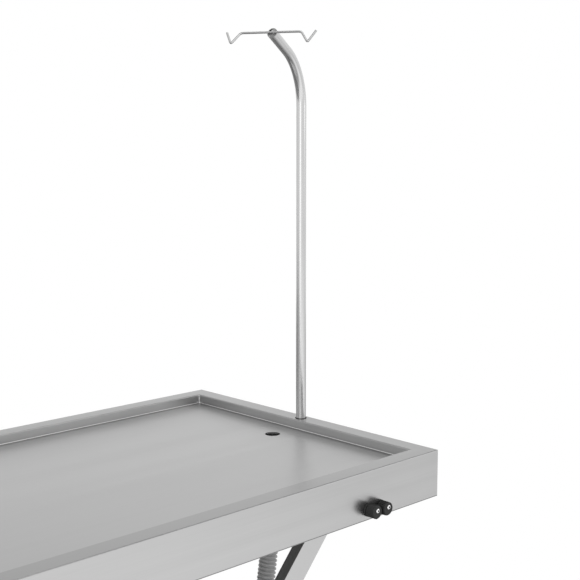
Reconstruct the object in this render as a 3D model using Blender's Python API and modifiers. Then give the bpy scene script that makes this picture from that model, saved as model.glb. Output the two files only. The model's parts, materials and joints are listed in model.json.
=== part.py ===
"""Veterinary treatment table.

A stainless steel tray top with a drain, cord cleats and a drip pole stands on a scissor lift, which a
hydraulic foot pump raises. +X runs along the table to its pole end, -Y is the long side that faces the
vet, and +Z is up from the floor. All lengths are in metres.
"""

import math

import bmesh
import bpy
from mathutils import Matrix, Vector

# Tray top, one folded sheet
TOP_LENGTH = 1.300
TOP_WIDTH = 0.650
SKIRT_HEIGHT = 0.083
RIM_WIDTH = 0.035
TRAY_DEPTH = 0.018
SHEET = 0.0015
INNER_BEND = 0.0005

# Clearances that serve the whole table
GAP = 0.0003
OVERRUN = 0.004
WELD_OVERLAP = 0.001

# Scissor lift
ARM_ANGLE = math.radians(49)
LOWEST_ANGLE = math.radians(18)
ARM_HEIGHT = 0.040
ARM_THICKNESS = 0.020
ARM_WALL = 0.002
ARM_RAIL_SPACE = 0.0082
PIN_RADIUS = 0.008
PIN_HEAD_RADIUS = 0.011
PIN_HEAD = 0.003
WASHER_RADIUS = 0.015
WASHER_THICKNESS = 0.0054
AXLE_RADIUS = 0.006
AXLE_COLLAR_RADIUS = 0.009
AXLE_HEAD = 0.0027
ROLLER_SIDE_SPACE = 0.0055
ROLLER_PLAY = 0.0005
ROLLER_CHAMFER = 0.0015
CROSS_TUBE_RADIUS = 0.0125
CROSS_TUBE_WALL = 0.0015
LOW_TUBE_REACH = 0.120
HIGH_TUBE_SPACE = 0.130

# Channel rails, on the base and under the tray
RAIL_HEIGHT = 0.040
RAIL_WIDTH = 0.030
RAIL_WALL = 0.003
RAIL_END_MARGIN = 0.004
RAIL_FLOOR_SPACE = 0.003
BASE_RAIL_CLEARANCE = 0.048
CROSS_WIDTH = 0.030
CROSS_WALL = 0.002
DRAIN_CROSS_SPACE = 0.03515
FREE_END_SPACE = 0.0192
FOOT_SIDE_SPACE = 0.0045

# Levelling feet
FOOT_RADIUS = 0.020
FOOT_THICKNESS = 0.010
FOOT_NECK = 0.005
FOOT_ROD_RADIUS = 0.006
FOOT_ROD_TOP_SPACE = 0.005
NUT_RADIUS = 0.0104
NUT_HEIGHT = 0.010

# Hydraulic cylinder: foot pivot from the base pivots, rod pivot on the outer arms
CYLINDER_REACH = 0.4086
CYLINDER_DROP = 0.0109
LUG_CENTRE_SPACE = 0.0945
LUG_STANDOFF = 0.0704
BARREL_RADIUS = 0.021
BARREL_BORE = 0.016
BARREL_START = 0.016
NECK_RADIUS = 0.011
NECK_START = 0.008
BARREL_BORE_START = 0.022
GLAND = 0.015
ROD_SHOWN = 0.190
ROD_RADIUS = 0.009
PISTON_SPACE = 0.0266
PISTON_THICKNESS = 0.018
EYE_RADIUS = 0.015
EYE_WIDTH = 0.024
LOOSE_PIVOT_PLAY = 0.003
DRIVE_PIN_RADIUS = 0.006
PIN_END = 0.004
LUG_THICKNESS = 0.006
LUG_RADIUS = 0.013
ROD_LUG_SPACE = 0.002
FORK_WEB = 0.006
FORK_SPACE = 0.003
CLEVIS_SPACE = 0.031

# Foot pump
PUMP_LENGTH = 0.150
PUMP_DEPTH = 0.130
PUMP_HEIGHT = 0.066
PUMP_RAIL_SPACE = 0.0882
PUMP_RAIL_DROP = 0.002
PUMP_EDGE = 0.004
PEDAL_AXIS_OFFSET = 0.017
PEDAL_RAIL_SPACE = 0.012
PEDAL_LUG_THICKNESS = 0.008
PEDAL_INSET = 0.044
PEDAL_HUB_RADIUS = 0.012
PEDAL_HUB_WIDTH = 0.026
PEDAL_ARM_LENGTH = 0.070
PEDAL_ARM_WIDTH = 0.018
PEDAL_ARM_THICKNESS = 0.008
PEDAL_PAD_LENGTH = 0.050
PEDAL_PAD_THICKNESS = 0.012
PEDAL_EDGE = 0.002
PUMP_PAD_WIDTH = 0.056
PUMP_PEDAL_ANGLE = math.radians(12)
RELEASE_PEDAL_ANGLE = math.radians(9)
PIPE_RADIUS = 0.003
PIPE_START = 0.028
PIPE_RISE = 0.028
PIPE_SIDE = 0.040
PIPE_BEND = 0.012

# Drain and its hose
DRAIN_INSET = 0.093
DRAIN_RADIUS = 0.01425
SPIGOT_WALL = 0.0015
SPIGOT_FLANGE_RADIUS = 0.022
SPIGOT_FLANGE = 0.0015
SPIGOT_LENGTH = 0.045
CUFF_WALL = 0.003
CUFF_TOP_SPACE = 0.0075
CUFF_STOP = 0.004
HOSE_RADIUS = 0.0175
HOSE_WALL = 0.0029
HOSE_LENGTH = 0.330
RIB_PITCH = 0.0078
RIB_DEPTH = 0.0026
HOSE_ROUTE = (
    (0.0, 0.0),
    (0.0, -0.040),
    (-0.0025, -0.100),
    (-0.0120, -0.190),
    (-0.0200, -0.245),
    (-0.0245, -0.290),
    (-0.0250, -0.330),
)

# Drip pole and its hook
POLE_RADIUS = 0.0095
POLE_WALL = 0.0015
POLE_DEPTH = 0.120
POLE_STRAIGHT = 0.597
CROOK_RADIUS = 0.108
CROOK_ANGLE = math.radians(66)
CROOK_HEADING = math.radians(201)
CROOK_TAIL = 0.0655
BUSH_WALL = 0.0012
BUSH_PROUD = 0.0008
BUSH_LENGTH = 0.040
SOCKET_WALL = 0.0015
SOCKET_FLOOR = 0.003
WIRE_RADIUS = 0.002
HOOK_SETBACK = 0.0015
HOOK_LIFT = 0.0023
HOOK_SHIFT = 0.0041
HOOK_ROLL = math.radians(0.9)
HOOK_HALF_BAR = 0.0595
HOOK_FALL_OUT = 0.0157
HOOK_FALL = 0.0211
HOOK_RISE_OUT = 0.0125
HOOK_RISE = 0.0224
HOOK_BEND = 0.004

# Cord cleats on the long sides
CLEAT_INSET = 0.169
CLEAT_RISE = 0.021
CAM_SPACE = 0.0034
CAM_RADIUS = 0.0118
CAM_LOBE = 0.003
CAM_HEIGHT = 0.0175
CAM_TOOTH = 0.0008
CLEAT_EDGE = 0.0005
CLEAT_BASE = 0.0035
SCREW_RADIUS = 0.0025
SCREW_HEAD_RADIUS = 0.0048
SCREW_HEAD = 0.0014
HEX_RADIUS = 0.0023
HEX_DEPTH = 0.0009

# Counts
TURN_STEPS = 20
HOLE_STEPS = 16
SHAFT_STEPS = 16
END_STEPS = 8
CROOK_STEPS = 12
CORNER_STEPS = 3
CAM_STEPS = 28
SCREW_STEPS = 12
HEX_SIDES = 6
ROUTE_STEPS = 400

# Sizes that follow from those above
BEND_RADIUS = SHEET + INNER_BEND
RAIL_INSIDE = RAIL_HEIGHT - 2 * RAIL_WALL
ROLLER_RADIUS = RAIL_INSIDE / 2 - ROLLER_PLAY
ROLLER_WIDTH = RAIL_WIDTH - RAIL_WALL - 2 * ROLLER_SIDE_SPACE
SPIGOT_RADIUS = DRAIN_RADIUS + SPIGOT_WALL
CUFF_BORE = SPIGOT_RADIUS + GAP
CUFF_RADIUS = CUFF_BORE + CUFF_WALL
HOSE_BORE_RADIUS = HOSE_RADIUS - RIB_DEPTH - HOSE_WALL
BUSH_RADIUS = POLE_RADIUS + GAP + BUSH_WALL
POLE_MOUTH_DEPTH = HOOK_SETBACK + WIRE_RADIUS + 2 * GAP
CAM_SPACING = 2 * CAM_RADIUS + CAM_SPACE
CLEAT_BASE_RADIUS = CAM_RADIUS + CLEAT_EDGE
FORK_HALF_WIDTH = EYE_WIDTH / 2 + ROD_LUG_SPACE
ROD_PIN_LENGTH = 2 * (FORK_HALF_WIDTH + LUG_THICKNESS + PIN_END)
CYLINDER_PIN_LENGTH = 2 * (EYE_WIDTH / 2 + GAP + LUG_THICKNESS + PIN_END)
PEDAL_LUG_OFFSET = PEDAL_HUB_WIDTH + 1.5 * GAP + PEDAL_LUG_THICKNESS / 2
PEDAL_PIN_LENGTH = 2 * PEDAL_LUG_OFFSET + PEDAL_LUG_THICKNESS + PIN_END

# Places along the table, from the drain to the free end
DRAIN_X = TOP_LENGTH / 2 - DRAIN_INSET
POLE_X = (TOP_LENGTH - RIM_WIDTH) / 2
CLEAT_X = TOP_LENGTH / 2 - CLEAT_INSET
POLE_CROSS_X = DRAIN_X - CUFF_RADIUS - DRAIN_CROSS_SPACE - CROSS_WIDTH / 2
RAIL_POLE_X = POLE_CROSS_X + CROSS_WIDTH / 2 + RAIL_END_MARGIN
POLE_FOOT_X = POLE_CROSS_X - CROSS_WIDTH / 2 - FOOT_SIDE_SPACE - FOOT_ROD_RADIUS
PIVOT_X = POLE_FOOT_X - FOOT_ROD_RADIUS - FOOT_SIDE_SPACE - PIN_HEAD_RADIUS
CYLINDER_X = PIVOT_X - CYLINDER_REACH
MIDDLE_CROSS_X = CYLINDER_X + CLEVIS_SPACE + CROSS_WIDTH / 2
PUMP_X = MIDDLE_CROSS_X + CROSS_WIDTH / 2 + GAP
RAIL_FREE_X = SHEET + FREE_END_SPACE - TOP_LENGTH / 2
FREE_CROSS_X = RAIL_FREE_X + RAIL_END_MARGIN + CROSS_WIDTH / 2
FREE_FOOT_X = FREE_CROSS_X + CROSS_WIDTH / 2 + FOOT_SIDE_SPACE + FOOT_ROD_RADIUS
ROLLER_FAR_X = FREE_FOOT_X + FOOT_ROD_RADIUS + FOOT_SIDE_SPACE + ROLLER_RADIUS

# Arms, as long as lets their rollers reach ROLLER_FAR_X at the lowest angle
ARM_PITCH = (PIVOT_X - ROLLER_FAR_X) / math.cos(LOWEST_ANGLE)
LUG_REACH = ARM_PITCH / 2 + LUG_CENTRE_SPACE
HIGH_TUBE_REACH = ARM_PITCH - HIGH_TUBE_SPACE
LIFT = ARM_PITCH * math.sin(ARM_ANGLE)
SPAN = ARM_PITCH * math.cos(ARM_ANGLE)

# Heights
BASE_RAIL_Z = BASE_RAIL_CLEARANCE + RAIL_HEIGHT / 2
TABLE_RAIL_Z = BASE_RAIL_Z + LIFT
TABLE_RAIL_DROP = TRAY_DEPTH + SHEET + GAP + RAIL_FLOOR_SPACE + max(RAIL_HEIGHT, ARM_HEIGHT) / 2
TOP_Z = TABLE_RAIL_Z + TABLE_RAIL_DROP
CLEAT_Z = TOP_Z - SKIRT_HEIGHT + CLEAT_RISE
PUMP_BOTTOM = BASE_RAIL_CLEARANCE - PUMP_RAIL_DROP
PEDAL_AXIS_HEIGHT = BASE_RAIL_CLEARANCE + RAIL_HEIGHT + PEDAL_RAIL_SPACE + PEDAL_PAD_THICKNESS / 2

# Places across the table, as distances from its middle plane
SIDE_Y = TOP_WIDTH / 2
RAIL_OUT_Y = SIDE_Y - SHEET - GAP
RAIL_WEB_Y = RAIL_OUT_Y - RAIL_WALL
RAIL_IN_Y = RAIL_OUT_Y - RAIL_WIDTH
OUTER_ARM_OUT_Y = RAIL_IN_Y - ARM_RAIL_SPACE
OUTER_ARM_IN_Y = OUTER_ARM_OUT_Y - ARM_THICKNESS
INNER_ARM_OUT_Y = OUTER_ARM_IN_Y - WASHER_THICKNESS - 2 * GAP
INNER_ARM_IN_Y = INNER_ARM_OUT_Y - ARM_THICKNESS
ROLLER_Y = (RAIL_IN_Y + RAIL_WEB_Y) / 2
PUMP_FRONT = RAIL_IN_Y - PUMP_RAIL_SPACE

# Joint axes
BASE_PIVOT = Vector((PIVOT_X, 0, BASE_RAIL_Z))
TABLE_PIVOT = Vector((PIVOT_X, 0, TABLE_RAIL_Z))
CENTRE_PIVOT = Vector((PIVOT_X - SPAN / 2, 0, BASE_RAIL_Z + LIFT / 2))
CYLINDER_PIVOT = Vector((CYLINDER_X, 0, BASE_RAIL_Z - CYLINDER_DROP))
PEDAL_PIVOT_Y = -PUMP_FRONT - PEDAL_AXIS_OFFSET

# Finishes: colour, roughness, metallic
STAINLESS = ((0.62, 0.62, 0.62, 1), 0.34, 1.0)
DARK_STEEL = ((0.35, 0.35, 0.36, 1), 0.42, 1.0)
ZINC = ((0.68, 0.68, 0.66, 1), 0.30, 1.0)
CHROME = ((0.80, 0.80, 0.80, 1), 0.12, 1.0)
BLACK_PLASTIC = ((0.015, 0.015, 0.016, 1), 0.45, 0.0)
NYLON = ((0.75, 0.74, 0.70, 1), 0.50, 0.0)
GREY_HOSE = ((0.22, 0.22, 0.22, 1), 0.55, 0.0)
RUBBER = ((0.05, 0.05, 0.05, 1), 0.70, 0.0)
PUMP_PAINT = ((0.10, 0.11, 0.12, 1), 0.45, 0.0)

PARTS_NAME = "veterinary_treatment_table"
CUTTERS_NAME = "cutters"


def clear_scene():
    for obj in list(bpy.context.scene.objects):
        bpy.data.objects.remove(obj, do_unlink=True)


def new_collection(name):
    collection = bpy.data.collections.new(name)
    bpy.context.scene.collection.children.link(collection)
    return collection


def material(name, finish):
    colour, roughness, metallic = finish
    made = bpy.data.materials.new(name + "_finish")
    made.use_nodes = True
    shader = made.node_tree.nodes["Principled BSDF"]
    shader.inputs["Base Color"].default_value = colour
    shader.inputs["Roughness"].default_value = roughness
    shader.inputs["Metallic"].default_value = metallic
    return made


def placed(name, data, matrix, finish):
    """An object of the parts collection or, with no finish, a cutter."""
    obj = bpy.data.objects.new(name, data)
    obj.matrix_world = matrix
    if finish is None:
        bpy.data.collections[CUTTERS_NAME].objects.link(obj)
        obj.hide_render = True
        obj.display_type = "WIRE"
    else:
        bpy.data.collections[PARTS_NAME].objects.link(obj)
        data.materials.append(material(name, finish))
    return obj


def at(x, y, z):
    return Matrix.Translation((x, y, z))


def facing(direction):
    """The turn that takes local +Z to a direction, for pieces turned about their own Z axis."""
    return Vector(direction).to_track_quat("Z", "Y").to_matrix().to_4x4()


def box(name, size, matrix, finish=None, centre=(0, 0, 0)):
    bm = bmesh.new()
    bmesh.ops.create_cube(bm, size=1)
    bmesh.ops.scale(bm, vec=Vector(size), verts=bm.verts)
    bmesh.ops.translate(bm, vec=Vector(centre), verts=bm.verts)
    mesh = bpy.data.meshes.new(name)
    bm.to_mesh(mesh)
    bm.free()
    return placed(name, mesh, matrix, finish)


def rod(name, radius, length, matrix, finish=None, steps=HOLE_STEPS):
    """A round bar along local Z, centred on the place."""
    bm = bmesh.new()
    bmesh.ops.create_cone(bm, cap_ends=True, segments=steps, radius1=radius, radius2=radius, depth=length)
    mesh = bpy.data.meshes.new(name)
    bm.to_mesh(mesh)
    bm.free()
    return placed(name, mesh, matrix, finish)


def turned(name, profile, matrix, finish=None, steps=TURN_STEPS, ring=False):
    """A turned piece. Its (radius, height) points run down the outer side, and a ring closes on itself."""
    count = len(profile)
    edges = [(i, i + 1) for i in range(count - 1)]
    if ring:
        edges.append((count - 1, 0))
    mesh = bpy.data.meshes.new(name)
    mesh.from_pydata([(radius, 0, height) for radius, height in profile], edges, [])
    obj = placed(name, mesh, matrix, finish)
    screw = obj.modifiers.new("turn", "SCREW")
    screw.steps = steps
    screw.render_steps = steps
    screw.use_merge_vertices = True
    screw.merge_threshold = GAP / 10
    return obj


def hollow(inner, outer, bottom, top):
    """The ring profile of a plain tube or washer."""
    return [(inner, top), (outer, top), (outer, bottom), (inner, bottom)]


def curve_tube(name, points, radius, matrix, resolution, radii=None):
    """A round tube along points, as a curve."""
    curve = bpy.data.curves.new(name, "CURVE")
    curve.dimensions = "3D"
    curve.bevel_depth = radius
    curve.bevel_resolution = resolution
    curve.use_fill_caps = True
    spline = curve.splines.new("POLY")
    spline.points.add(len(points) - 1)
    for i, point in enumerate(points):
        spline.points[i].co = (*point, 1)
        spline.points[i].radius = radii[i] if radii else 1
    obj = bpy.data.objects.new(name + "_curve", curve)
    bpy.context.scene.collection.objects.link(obj)
    obj.matrix_world = matrix
    return obj


def curve_plate(name, outline, thickness, matrix):
    """A flat plate in local XY with this outline, as a curve."""
    curve = bpy.data.curves.new(name, "CURVE")
    curve.dimensions = "2D"
    curve.fill_mode = "BOTH"
    curve.extrude = thickness / 2
    spline = curve.splines.new("POLY")
    spline.points.add(len(outline) - 1)
    spline.use_cyclic_u = True
    for i, (x, y) in enumerate(outline):
        spline.points[i].co = (x, y, 0, 1)
    obj = bpy.data.objects.new(name + "_curve", curve)
    bpy.context.scene.collection.objects.link(obj)
    obj.matrix_world = matrix
    return obj


def as_mesh(name, source, finish=None):
    """The evaluated mesh of a curve or a modified object, welded, in its place. The source is removed."""
    bpy.context.view_layer.update()
    matrix = source.matrix_world.copy()
    evaluated = source.evaluated_get(bpy.context.evaluated_depsgraph_get())
    mesh = bpy.data.meshes.new_from_object(evaluated)
    mesh.materials.clear()
    bm = bmesh.new()
    bm.from_mesh(mesh)
    bmesh.ops.remove_doubles(bm, verts=bm.verts, dist=GAP / 30)
    bmesh.ops.recalc_face_normals(bm, faces=bm.faces)
    bm.to_mesh(mesh)
    bm.free()
    bpy.data.objects.remove(source, do_unlink=True)
    return placed(name, mesh, matrix, finish)


def tube(name, points, radius, matrix, finish=None, resolution=2, radii=None):
    return as_mesh(name, curve_tube(name, points, radius, matrix, resolution, radii), finish)


def plate(name, outline, thickness, matrix, finish=None):
    return as_mesh(name, curve_plate(name, outline, thickness, matrix), finish)


def boolean(obj, other, operation):
    step = obj.modifiers.new(operation.lower(), "BOOLEAN")
    step.operation = operation
    step.object = other
    step.solver = "EXACT"


def cut(obj, *cutters):
    for cutter in cutters:
        boolean(obj, cutter, "DIFFERENCE")
    return obj


def join(obj, *others):
    for other in others:
        boolean(obj, other, "UNION")
    return obj


def soften(obj, width, segments=1):
    """Rounds the sharp edges that the object has so far."""
    step = obj.modifiers.new("edges", "BEVEL")
    step.width = width
    step.segments = segments
    step.limit_method = "ANGLE"
    return obj


def smooth(obj):
    obj.data.shade_smooth()
    obj.data.set_sharp_from_angle(angle=math.radians(35))
    return obj


def round_hole(name, point, direction, radius, length, steps=HOLE_STEPS):
    """A cutter for a round hole through a point."""
    return rod(name, radius, length, Matrix.Translation(point) @ facing(direction), steps=steps)


def capsule(length, radius):
    """The outline of a bar with round ends, from the origin along +X."""
    points = []
    for centre, start in ((length, -math.pi / 2), (0, math.pi / 2)):
        for i in range(END_STEPS + 1):
            angle = start + math.pi * i / END_STEPS
            points.append((centre + radius * math.cos(angle), radius * math.sin(angle)))
    return points


def rounded_route(corners, bend):
    """A route through corners, each one rounded by a few points of an arc-like curve."""
    corners = [Vector(corner) for corner in corners]
    points = [corners[0]]
    for before, corner, after in zip(corners, corners[1:], corners[2:]):
        into = corner - (corner - before).normalized() * bend
        out = corner + (after - corner).normalized() * bend
        for i in range(CORNER_STEPS + 1):
            t = i / CORNER_STEPS
            points.append((1 - t) ** 2 * into + 2 * t * (1 - t) * corner + t**2 * out)
    points.append(corners[-1])
    return points


def outer_point(reach, standoff=0):
    """A point of the outer arms: its distance down the arm from the table pivots, and above the arm."""
    x = PIVOT_X - reach * math.cos(ARM_ANGLE) - standoff * math.sin(ARM_ANGLE)
    z = TABLE_RAIL_Z - reach * math.sin(ARM_ANGLE) + standoff * math.cos(ARM_ANGLE)
    return Vector((x, 0, z))


def inner_point(reach):
    """A point of the inner arms at a distance up the arm from the base pivots."""
    x = PIVOT_X - reach * math.cos(ARM_ANGLE)
    return Vector((x, 0, BASE_RAIL_Z + reach * math.sin(ARM_ANGLE)))


def side_turn(side):
    """Turns local +Z to face out of one long side: -1 is the near side, 1 the far side."""
    return facing((0, side, 0))


SIDES = {"near": -1, "far": 1}

# Turns a plate drawn in XY so that its X runs along the table and its Y is up
UPRIGHT = Matrix.Rotation(math.pi / 2, 4, "X")


def tray_top():
    bm = bmesh.new()
    bmesh.ops.create_grid(bm, x_segments=1, y_segments=1, size=0.5)
    bmesh.ops.scale(bm, vec=Vector((TOP_LENGTH, TOP_WIDTH, 1)), verts=bm.verts)
    floor = next(iter(bm.faces))
    bmesh.ops.inset_region(bm, faces=[floor], thickness=RIM_WIDTH, use_even_offset=True, use_boundary=True)
    sunk = bmesh.ops.extrude_face_region(bm, geom=[floor])["geom"]
    bmesh.ops.translate(bm, vec=(0, 0, -TRAY_DEPTH), verts=corners_of(sunk))
    bmesh.ops.delete(bm, geom=[floor], context="FACES_ONLY")
    border = [edge for edge in bm.edges if edge.is_boundary]
    hung = bmesh.ops.extrude_edge_only(bm, edges=border)["geom"]
    bmesh.ops.translate(bm, vec=(0, 0, -SKIRT_HEIGHT), verts=corners_of(hung))
    bmesh.ops.recalc_face_normals(bm, faces=bm.faces)
    lowest_floor = min((face for face in bm.faces if abs(face.normal.z) > 0.5), key=face_height)
    if lowest_floor.normal.z < 0:
        bmesh.ops.reverse_faces(bm, faces=bm.faces)
    mesh = bpy.data.meshes.new("tray_top")
    bm.to_mesh(mesh)
    bm.free()
    top = placed("tray_top", mesh, at(0, 0, TOP_Z), STAINLESS)
    soften(top, BEND_RADIUS, 2)
    shell = top.modifiers.new("sheet", "SOLIDIFY")
    shell.thickness = SHEET
    shell.offset = -1
    shell.use_even_offset = True
    up = (0, 0, 1)
    through = 2 * (TRAY_DEPTH + SHEET)
    drain_at = (DRAIN_X, 0, TOP_Z - TRAY_DEPTH)
    cut(top, round_hole("drain_cut", drain_at, up, DRAIN_RADIUS, through, TURN_STEPS))
    cut(top, round_hole("pole_cut", (POLE_X, 0, TOP_Z), up, BUSH_RADIUS + GAP, through, TURN_STEPS))
    for x in screw_places():
        reach = TOP_WIDTH + OVERRUN
        cut(top, round_hole("cleat_cut", (x, 0, CLEAT_Z), (0, 1, 0), SCREW_RADIUS + GAP, reach, SCREW_STEPS))
    return top


def corners_of(geometry):
    return [part for part in geometry if isinstance(part, bmesh.types.BMVert)]


def face_height(face):
    return face.calc_center_median().z


def rail(name, side, z, holes):
    """A channel that opens towards the middle of the table."""
    length = RAIL_POLE_X - RAIL_FREE_X
    middle = (RAIL_POLE_X + RAIL_FREE_X) / 2
    y = side * (RAIL_OUT_Y - RAIL_WIDTH / 2)
    channel = box(name, (length, RAIL_WIDTH, RAIL_HEIGHT), at(middle, y, z), STAINLESS)
    soften(channel, SHEET)
    slot = box(
        name + "_slot",
        (length + OVERRUN, RAIL_WIDTH, RAIL_INSIDE),
        at(middle, side * (RAIL_WEB_Y - RAIL_WIDTH / 2), z),
    )
    return cut(channel, slot, *holes)


def cross_member(name, x, z, holes=()):
    """A square tube from one rail's web to the other's, held between their flanges."""
    height = RAIL_INSIDE - 2 * GAP
    length = 2 * (RAIL_WEB_Y - GAP)
    beam = box(name, (CROSS_WIDTH, length, height), at(x, 0, z), STAINLESS)
    inside = box(
        name + "_inside",
        (CROSS_WIDTH - 2 * CROSS_WALL, length + OVERRUN, height - 2 * CROSS_WALL),
        at(x, 0, z),
    )
    return cut(beam, inside, *holes)


def arm(name, y, pivot, angle, holes):
    """A rectangular tube with rounded cheeks, from a pivot to its roller's axle ARM_PITCH further on."""
    matrix = Matrix.Translation(pivot) @ at(0, y, 0) @ Matrix.Rotation(angle, 4, "Y")
    bar = plate(name, capsule(ARM_PITCH, ARM_HEIGHT / 2), ARM_THICKNESS, matrix @ UPRIGHT, STAINLESS)
    inside = box(
        name + "_inside",
        (ARM_PITCH + 2 * ARM_HEIGHT, ARM_THICKNESS - 2 * ARM_WALL, ARM_HEIGHT - 2 * ARM_WALL),
        matrix,
        None,
        (ARM_PITCH / 2, 0, 0),
    )
    return cut(bar, inside, *holes)


def across(half):
    """A profile that repeats on both sides of the middle plane, from its half on the far side."""
    return half + [(radius, -height) for radius, height in reversed(half)]


def pivot_shaft(arm_in, arm_out):
    """Collars inside the arms, the shank through them, and bosses out to the rails' webs."""
    collar = arm_in - GAP
    boss = arm_out + GAP
    web = RAIL_WEB_Y - GAP
    return across(
        [
            (0, RAIL_OUT_Y - GAP),
            (PIN_RADIUS, RAIL_OUT_Y - GAP),
            (PIN_RADIUS, web),
            (PIN_HEAD_RADIUS, web),
            (PIN_HEAD_RADIUS, boss),
            (PIN_RADIUS, boss),
            (PIN_RADIUS, collar),
            (PIN_HEAD_RADIUS, collar),
            (PIN_HEAD_RADIUS, collar - PIN_HEAD),
            (PIN_RADIUS, collar - PIN_HEAD),
        ]
    )


def centre_shaft_profile():
    inner = INNER_ARM_IN_Y - GAP
    outer = OUTER_ARM_OUT_Y + GAP
    return across(
        [
            (0, outer + PIN_HEAD),
            (PIN_HEAD_RADIUS, outer + PIN_HEAD),
            (PIN_HEAD_RADIUS, outer),
            (PIN_RADIUS, outer),
            (PIN_RADIUS, inner),
            (PIN_HEAD_RADIUS, inner),
            (PIN_HEAD_RADIUS, inner - PIN_HEAD),
            (PIN_RADIUS, inner - PIN_HEAD),
        ]
    )


def roller_axle(arm_in, arm_out):
    """Collars on both sides of each arm, with the roller's seat and an end washer outside."""
    inner = arm_in - GAP
    outer = arm_out + GAP
    roller_in = ROLLER_Y - ROLLER_WIDTH / 2 - GAP
    roller_out = ROLLER_Y + ROLLER_WIDTH / 2 + GAP
    end = roller_out + AXLE_HEAD
    return across(
        [
            (0, end),
            (AXLE_COLLAR_RADIUS, end),
            (AXLE_COLLAR_RADIUS, roller_out),
            (AXLE_RADIUS, roller_out),
            (AXLE_RADIUS, roller_in),
            (AXLE_COLLAR_RADIUS, roller_in),
            (AXLE_COLLAR_RADIUS, outer),
            (AXLE_RADIUS, outer),
            (AXLE_RADIUS, inner),
            (AXLE_COLLAR_RADIUS, inner),
            (AXLE_COLLAR_RADIUS, inner - AXLE_HEAD),
            (AXLE_RADIUS, inner - AXLE_HEAD),
        ]
    )


def crosswise(name, profile, point, finish, ring=False):
    """A piece turned about a line across the table, its profile's heights measured from the middle plane."""
    matrix = Matrix.Translation(point) @ side_turn(1)
    return turned(name, profile, matrix, finish, SHAFT_STEPS, ring)


def roller(name, side, point):
    half = ROLLER_WIDTH / 2
    bore = AXLE_RADIUS + GAP
    profile = [
        (bore, half),
        (ROLLER_RADIUS - ROLLER_CHAMFER, half),
        (ROLLER_RADIUS, half - ROLLER_CHAMFER),
        (ROLLER_RADIUS, ROLLER_CHAMFER - half),
        (ROLLER_RADIUS - ROLLER_CHAMFER, -half),
        (bore, -half),
    ]
    matrix = Matrix.Translation(point) @ at(0, side * ROLLER_Y, 0) @ side_turn(side)
    return turned(name, profile, matrix, NYLON, ring=True)


def arm_cross_tube(name, point, half_length, finish):
    """A round tube across the table between a pair of arms."""
    inside = CROSS_TUBE_RADIUS - CROSS_TUBE_WALL
    profile = hollow(inside, CROSS_TUBE_RADIUS, -half_length, half_length)
    return turned(name, profile, Matrix.Translation(point) @ facing((0, 1, 0)), finish, ring=True)


def lug_frame(start, end, y):
    """Local X runs from one pivot point towards another, and local Z across the table."""
    along = Vector((end.x - start.x, 0, end.z - start.z)).normalized()
    up = Vector((0, 1, 0)).cross(along)
    turn = Matrix((along, up, along.cross(up))).transposed()
    return at(start.x, y, start.z) @ turn.to_4x4()


def flat_lug(name, start, end, y, tail=0):
    """A round-ended plate square to Y, from one pivot point to another and a tail beyond it."""
    length = math.hypot(end.x - start.x, end.z - start.z) + tail
    return plate(name, capsule(length, LUG_RADIUS), LUG_THICKNESS, lug_frame(start, end, y))


def inner_arms():
    holes = [round_hole("inner_base_hole", BASE_PIVOT, (0, 1, 0), PIN_RADIUS + GAP, TOP_WIDTH)]
    holes.append(round_hole("inner_centre_hole", CENTRE_PIVOT, (0, 1, 0), PIN_RADIUS + GAP, TOP_WIDTH))
    top = inner_point(ARM_PITCH)
    holes.append(round_hole("inner_roller_hole", top, (0, 1, 0), AXLE_RADIUS + GAP, TOP_WIDTH))
    made = []
    y = (INNER_ARM_OUT_Y + INNER_ARM_IN_Y) / 2
    for word, side in SIDES.items():
        made.append(arm("inner_arm_" + word, side * y, BASE_PIVOT, math.pi + ARM_ANGLE, holes))
    half = INNER_ARM_IN_Y - GAP
    made.append(arm_cross_tube("inner_cross_tube_low", inner_point(LOW_TUBE_REACH), half, STAINLESS))
    made.append(arm_cross_tube("inner_cross_tube_high", inner_point(HIGH_TUBE_REACH), half, STAINLESS))
    made.append(crosswise("top_roller_axle", roller_axle(INNER_ARM_IN_Y, INNER_ARM_OUT_Y), top, ZINC))
    made.append(crosswise("centre_shaft", centre_shaft_profile(), CENTRE_PIVOT, ZINC))
    for word, side in SIDES.items():
        low, high = sorted((side * (INNER_ARM_OUT_Y + GAP), side * (OUTER_ARM_IN_Y - GAP)))
        washer = hollow(PIN_RADIUS + GAP, WASHER_RADIUS, low, high)
        made.append(crosswise("arm_washer_" + word, washer, CENTRE_PIVOT, NYLON, ring=True))
    carry("inner_arms_body", BASE_PIVOT, made)
    for word, side in SIDES.items():
        name = "top_roller_" + word
        carry(name + "_body", top, [roller(name, side, top)])


def outer_arms():
    holes = [round_hole("outer_table_hole", TABLE_PIVOT, (0, 1, 0), PIN_RADIUS + GAP, TOP_WIDTH)]
    holes.append(round_hole("outer_centre_hole", CENTRE_PIVOT, (0, 1, 0), PIN_RADIUS + GAP, TOP_WIDTH))
    foot = outer_point(ARM_PITCH)
    holes.append(round_hole("outer_roller_hole", foot, (0, 1, 0), AXLE_RADIUS + GAP, TOP_WIDTH))
    made = []
    y = (OUTER_ARM_OUT_Y + OUTER_ARM_IN_Y) / 2
    for word, side in SIDES.items():
        made.append(arm("outer_arm_" + word, side * y, TABLE_PIVOT, math.pi - ARM_ANGLE, holes))
    made.append(crosswise("base_roller_axle", roller_axle(OUTER_ARM_IN_Y, OUTER_ARM_OUT_Y), foot, ZINC))
    made.append(lifting_tube())
    made.append(drive_pin("rod_pin", outer_point(LUG_REACH, LUG_STANDOFF), (0, 1, 0), ROD_PIN_LENGTH))
    carry("outer_arms_body", CENTRE_PIVOT, made)
    for word, side in SIDES.items():
        name = "base_roller_" + word
        carry(name + "_body", foot, [roller(name, side, foot)])


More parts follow.
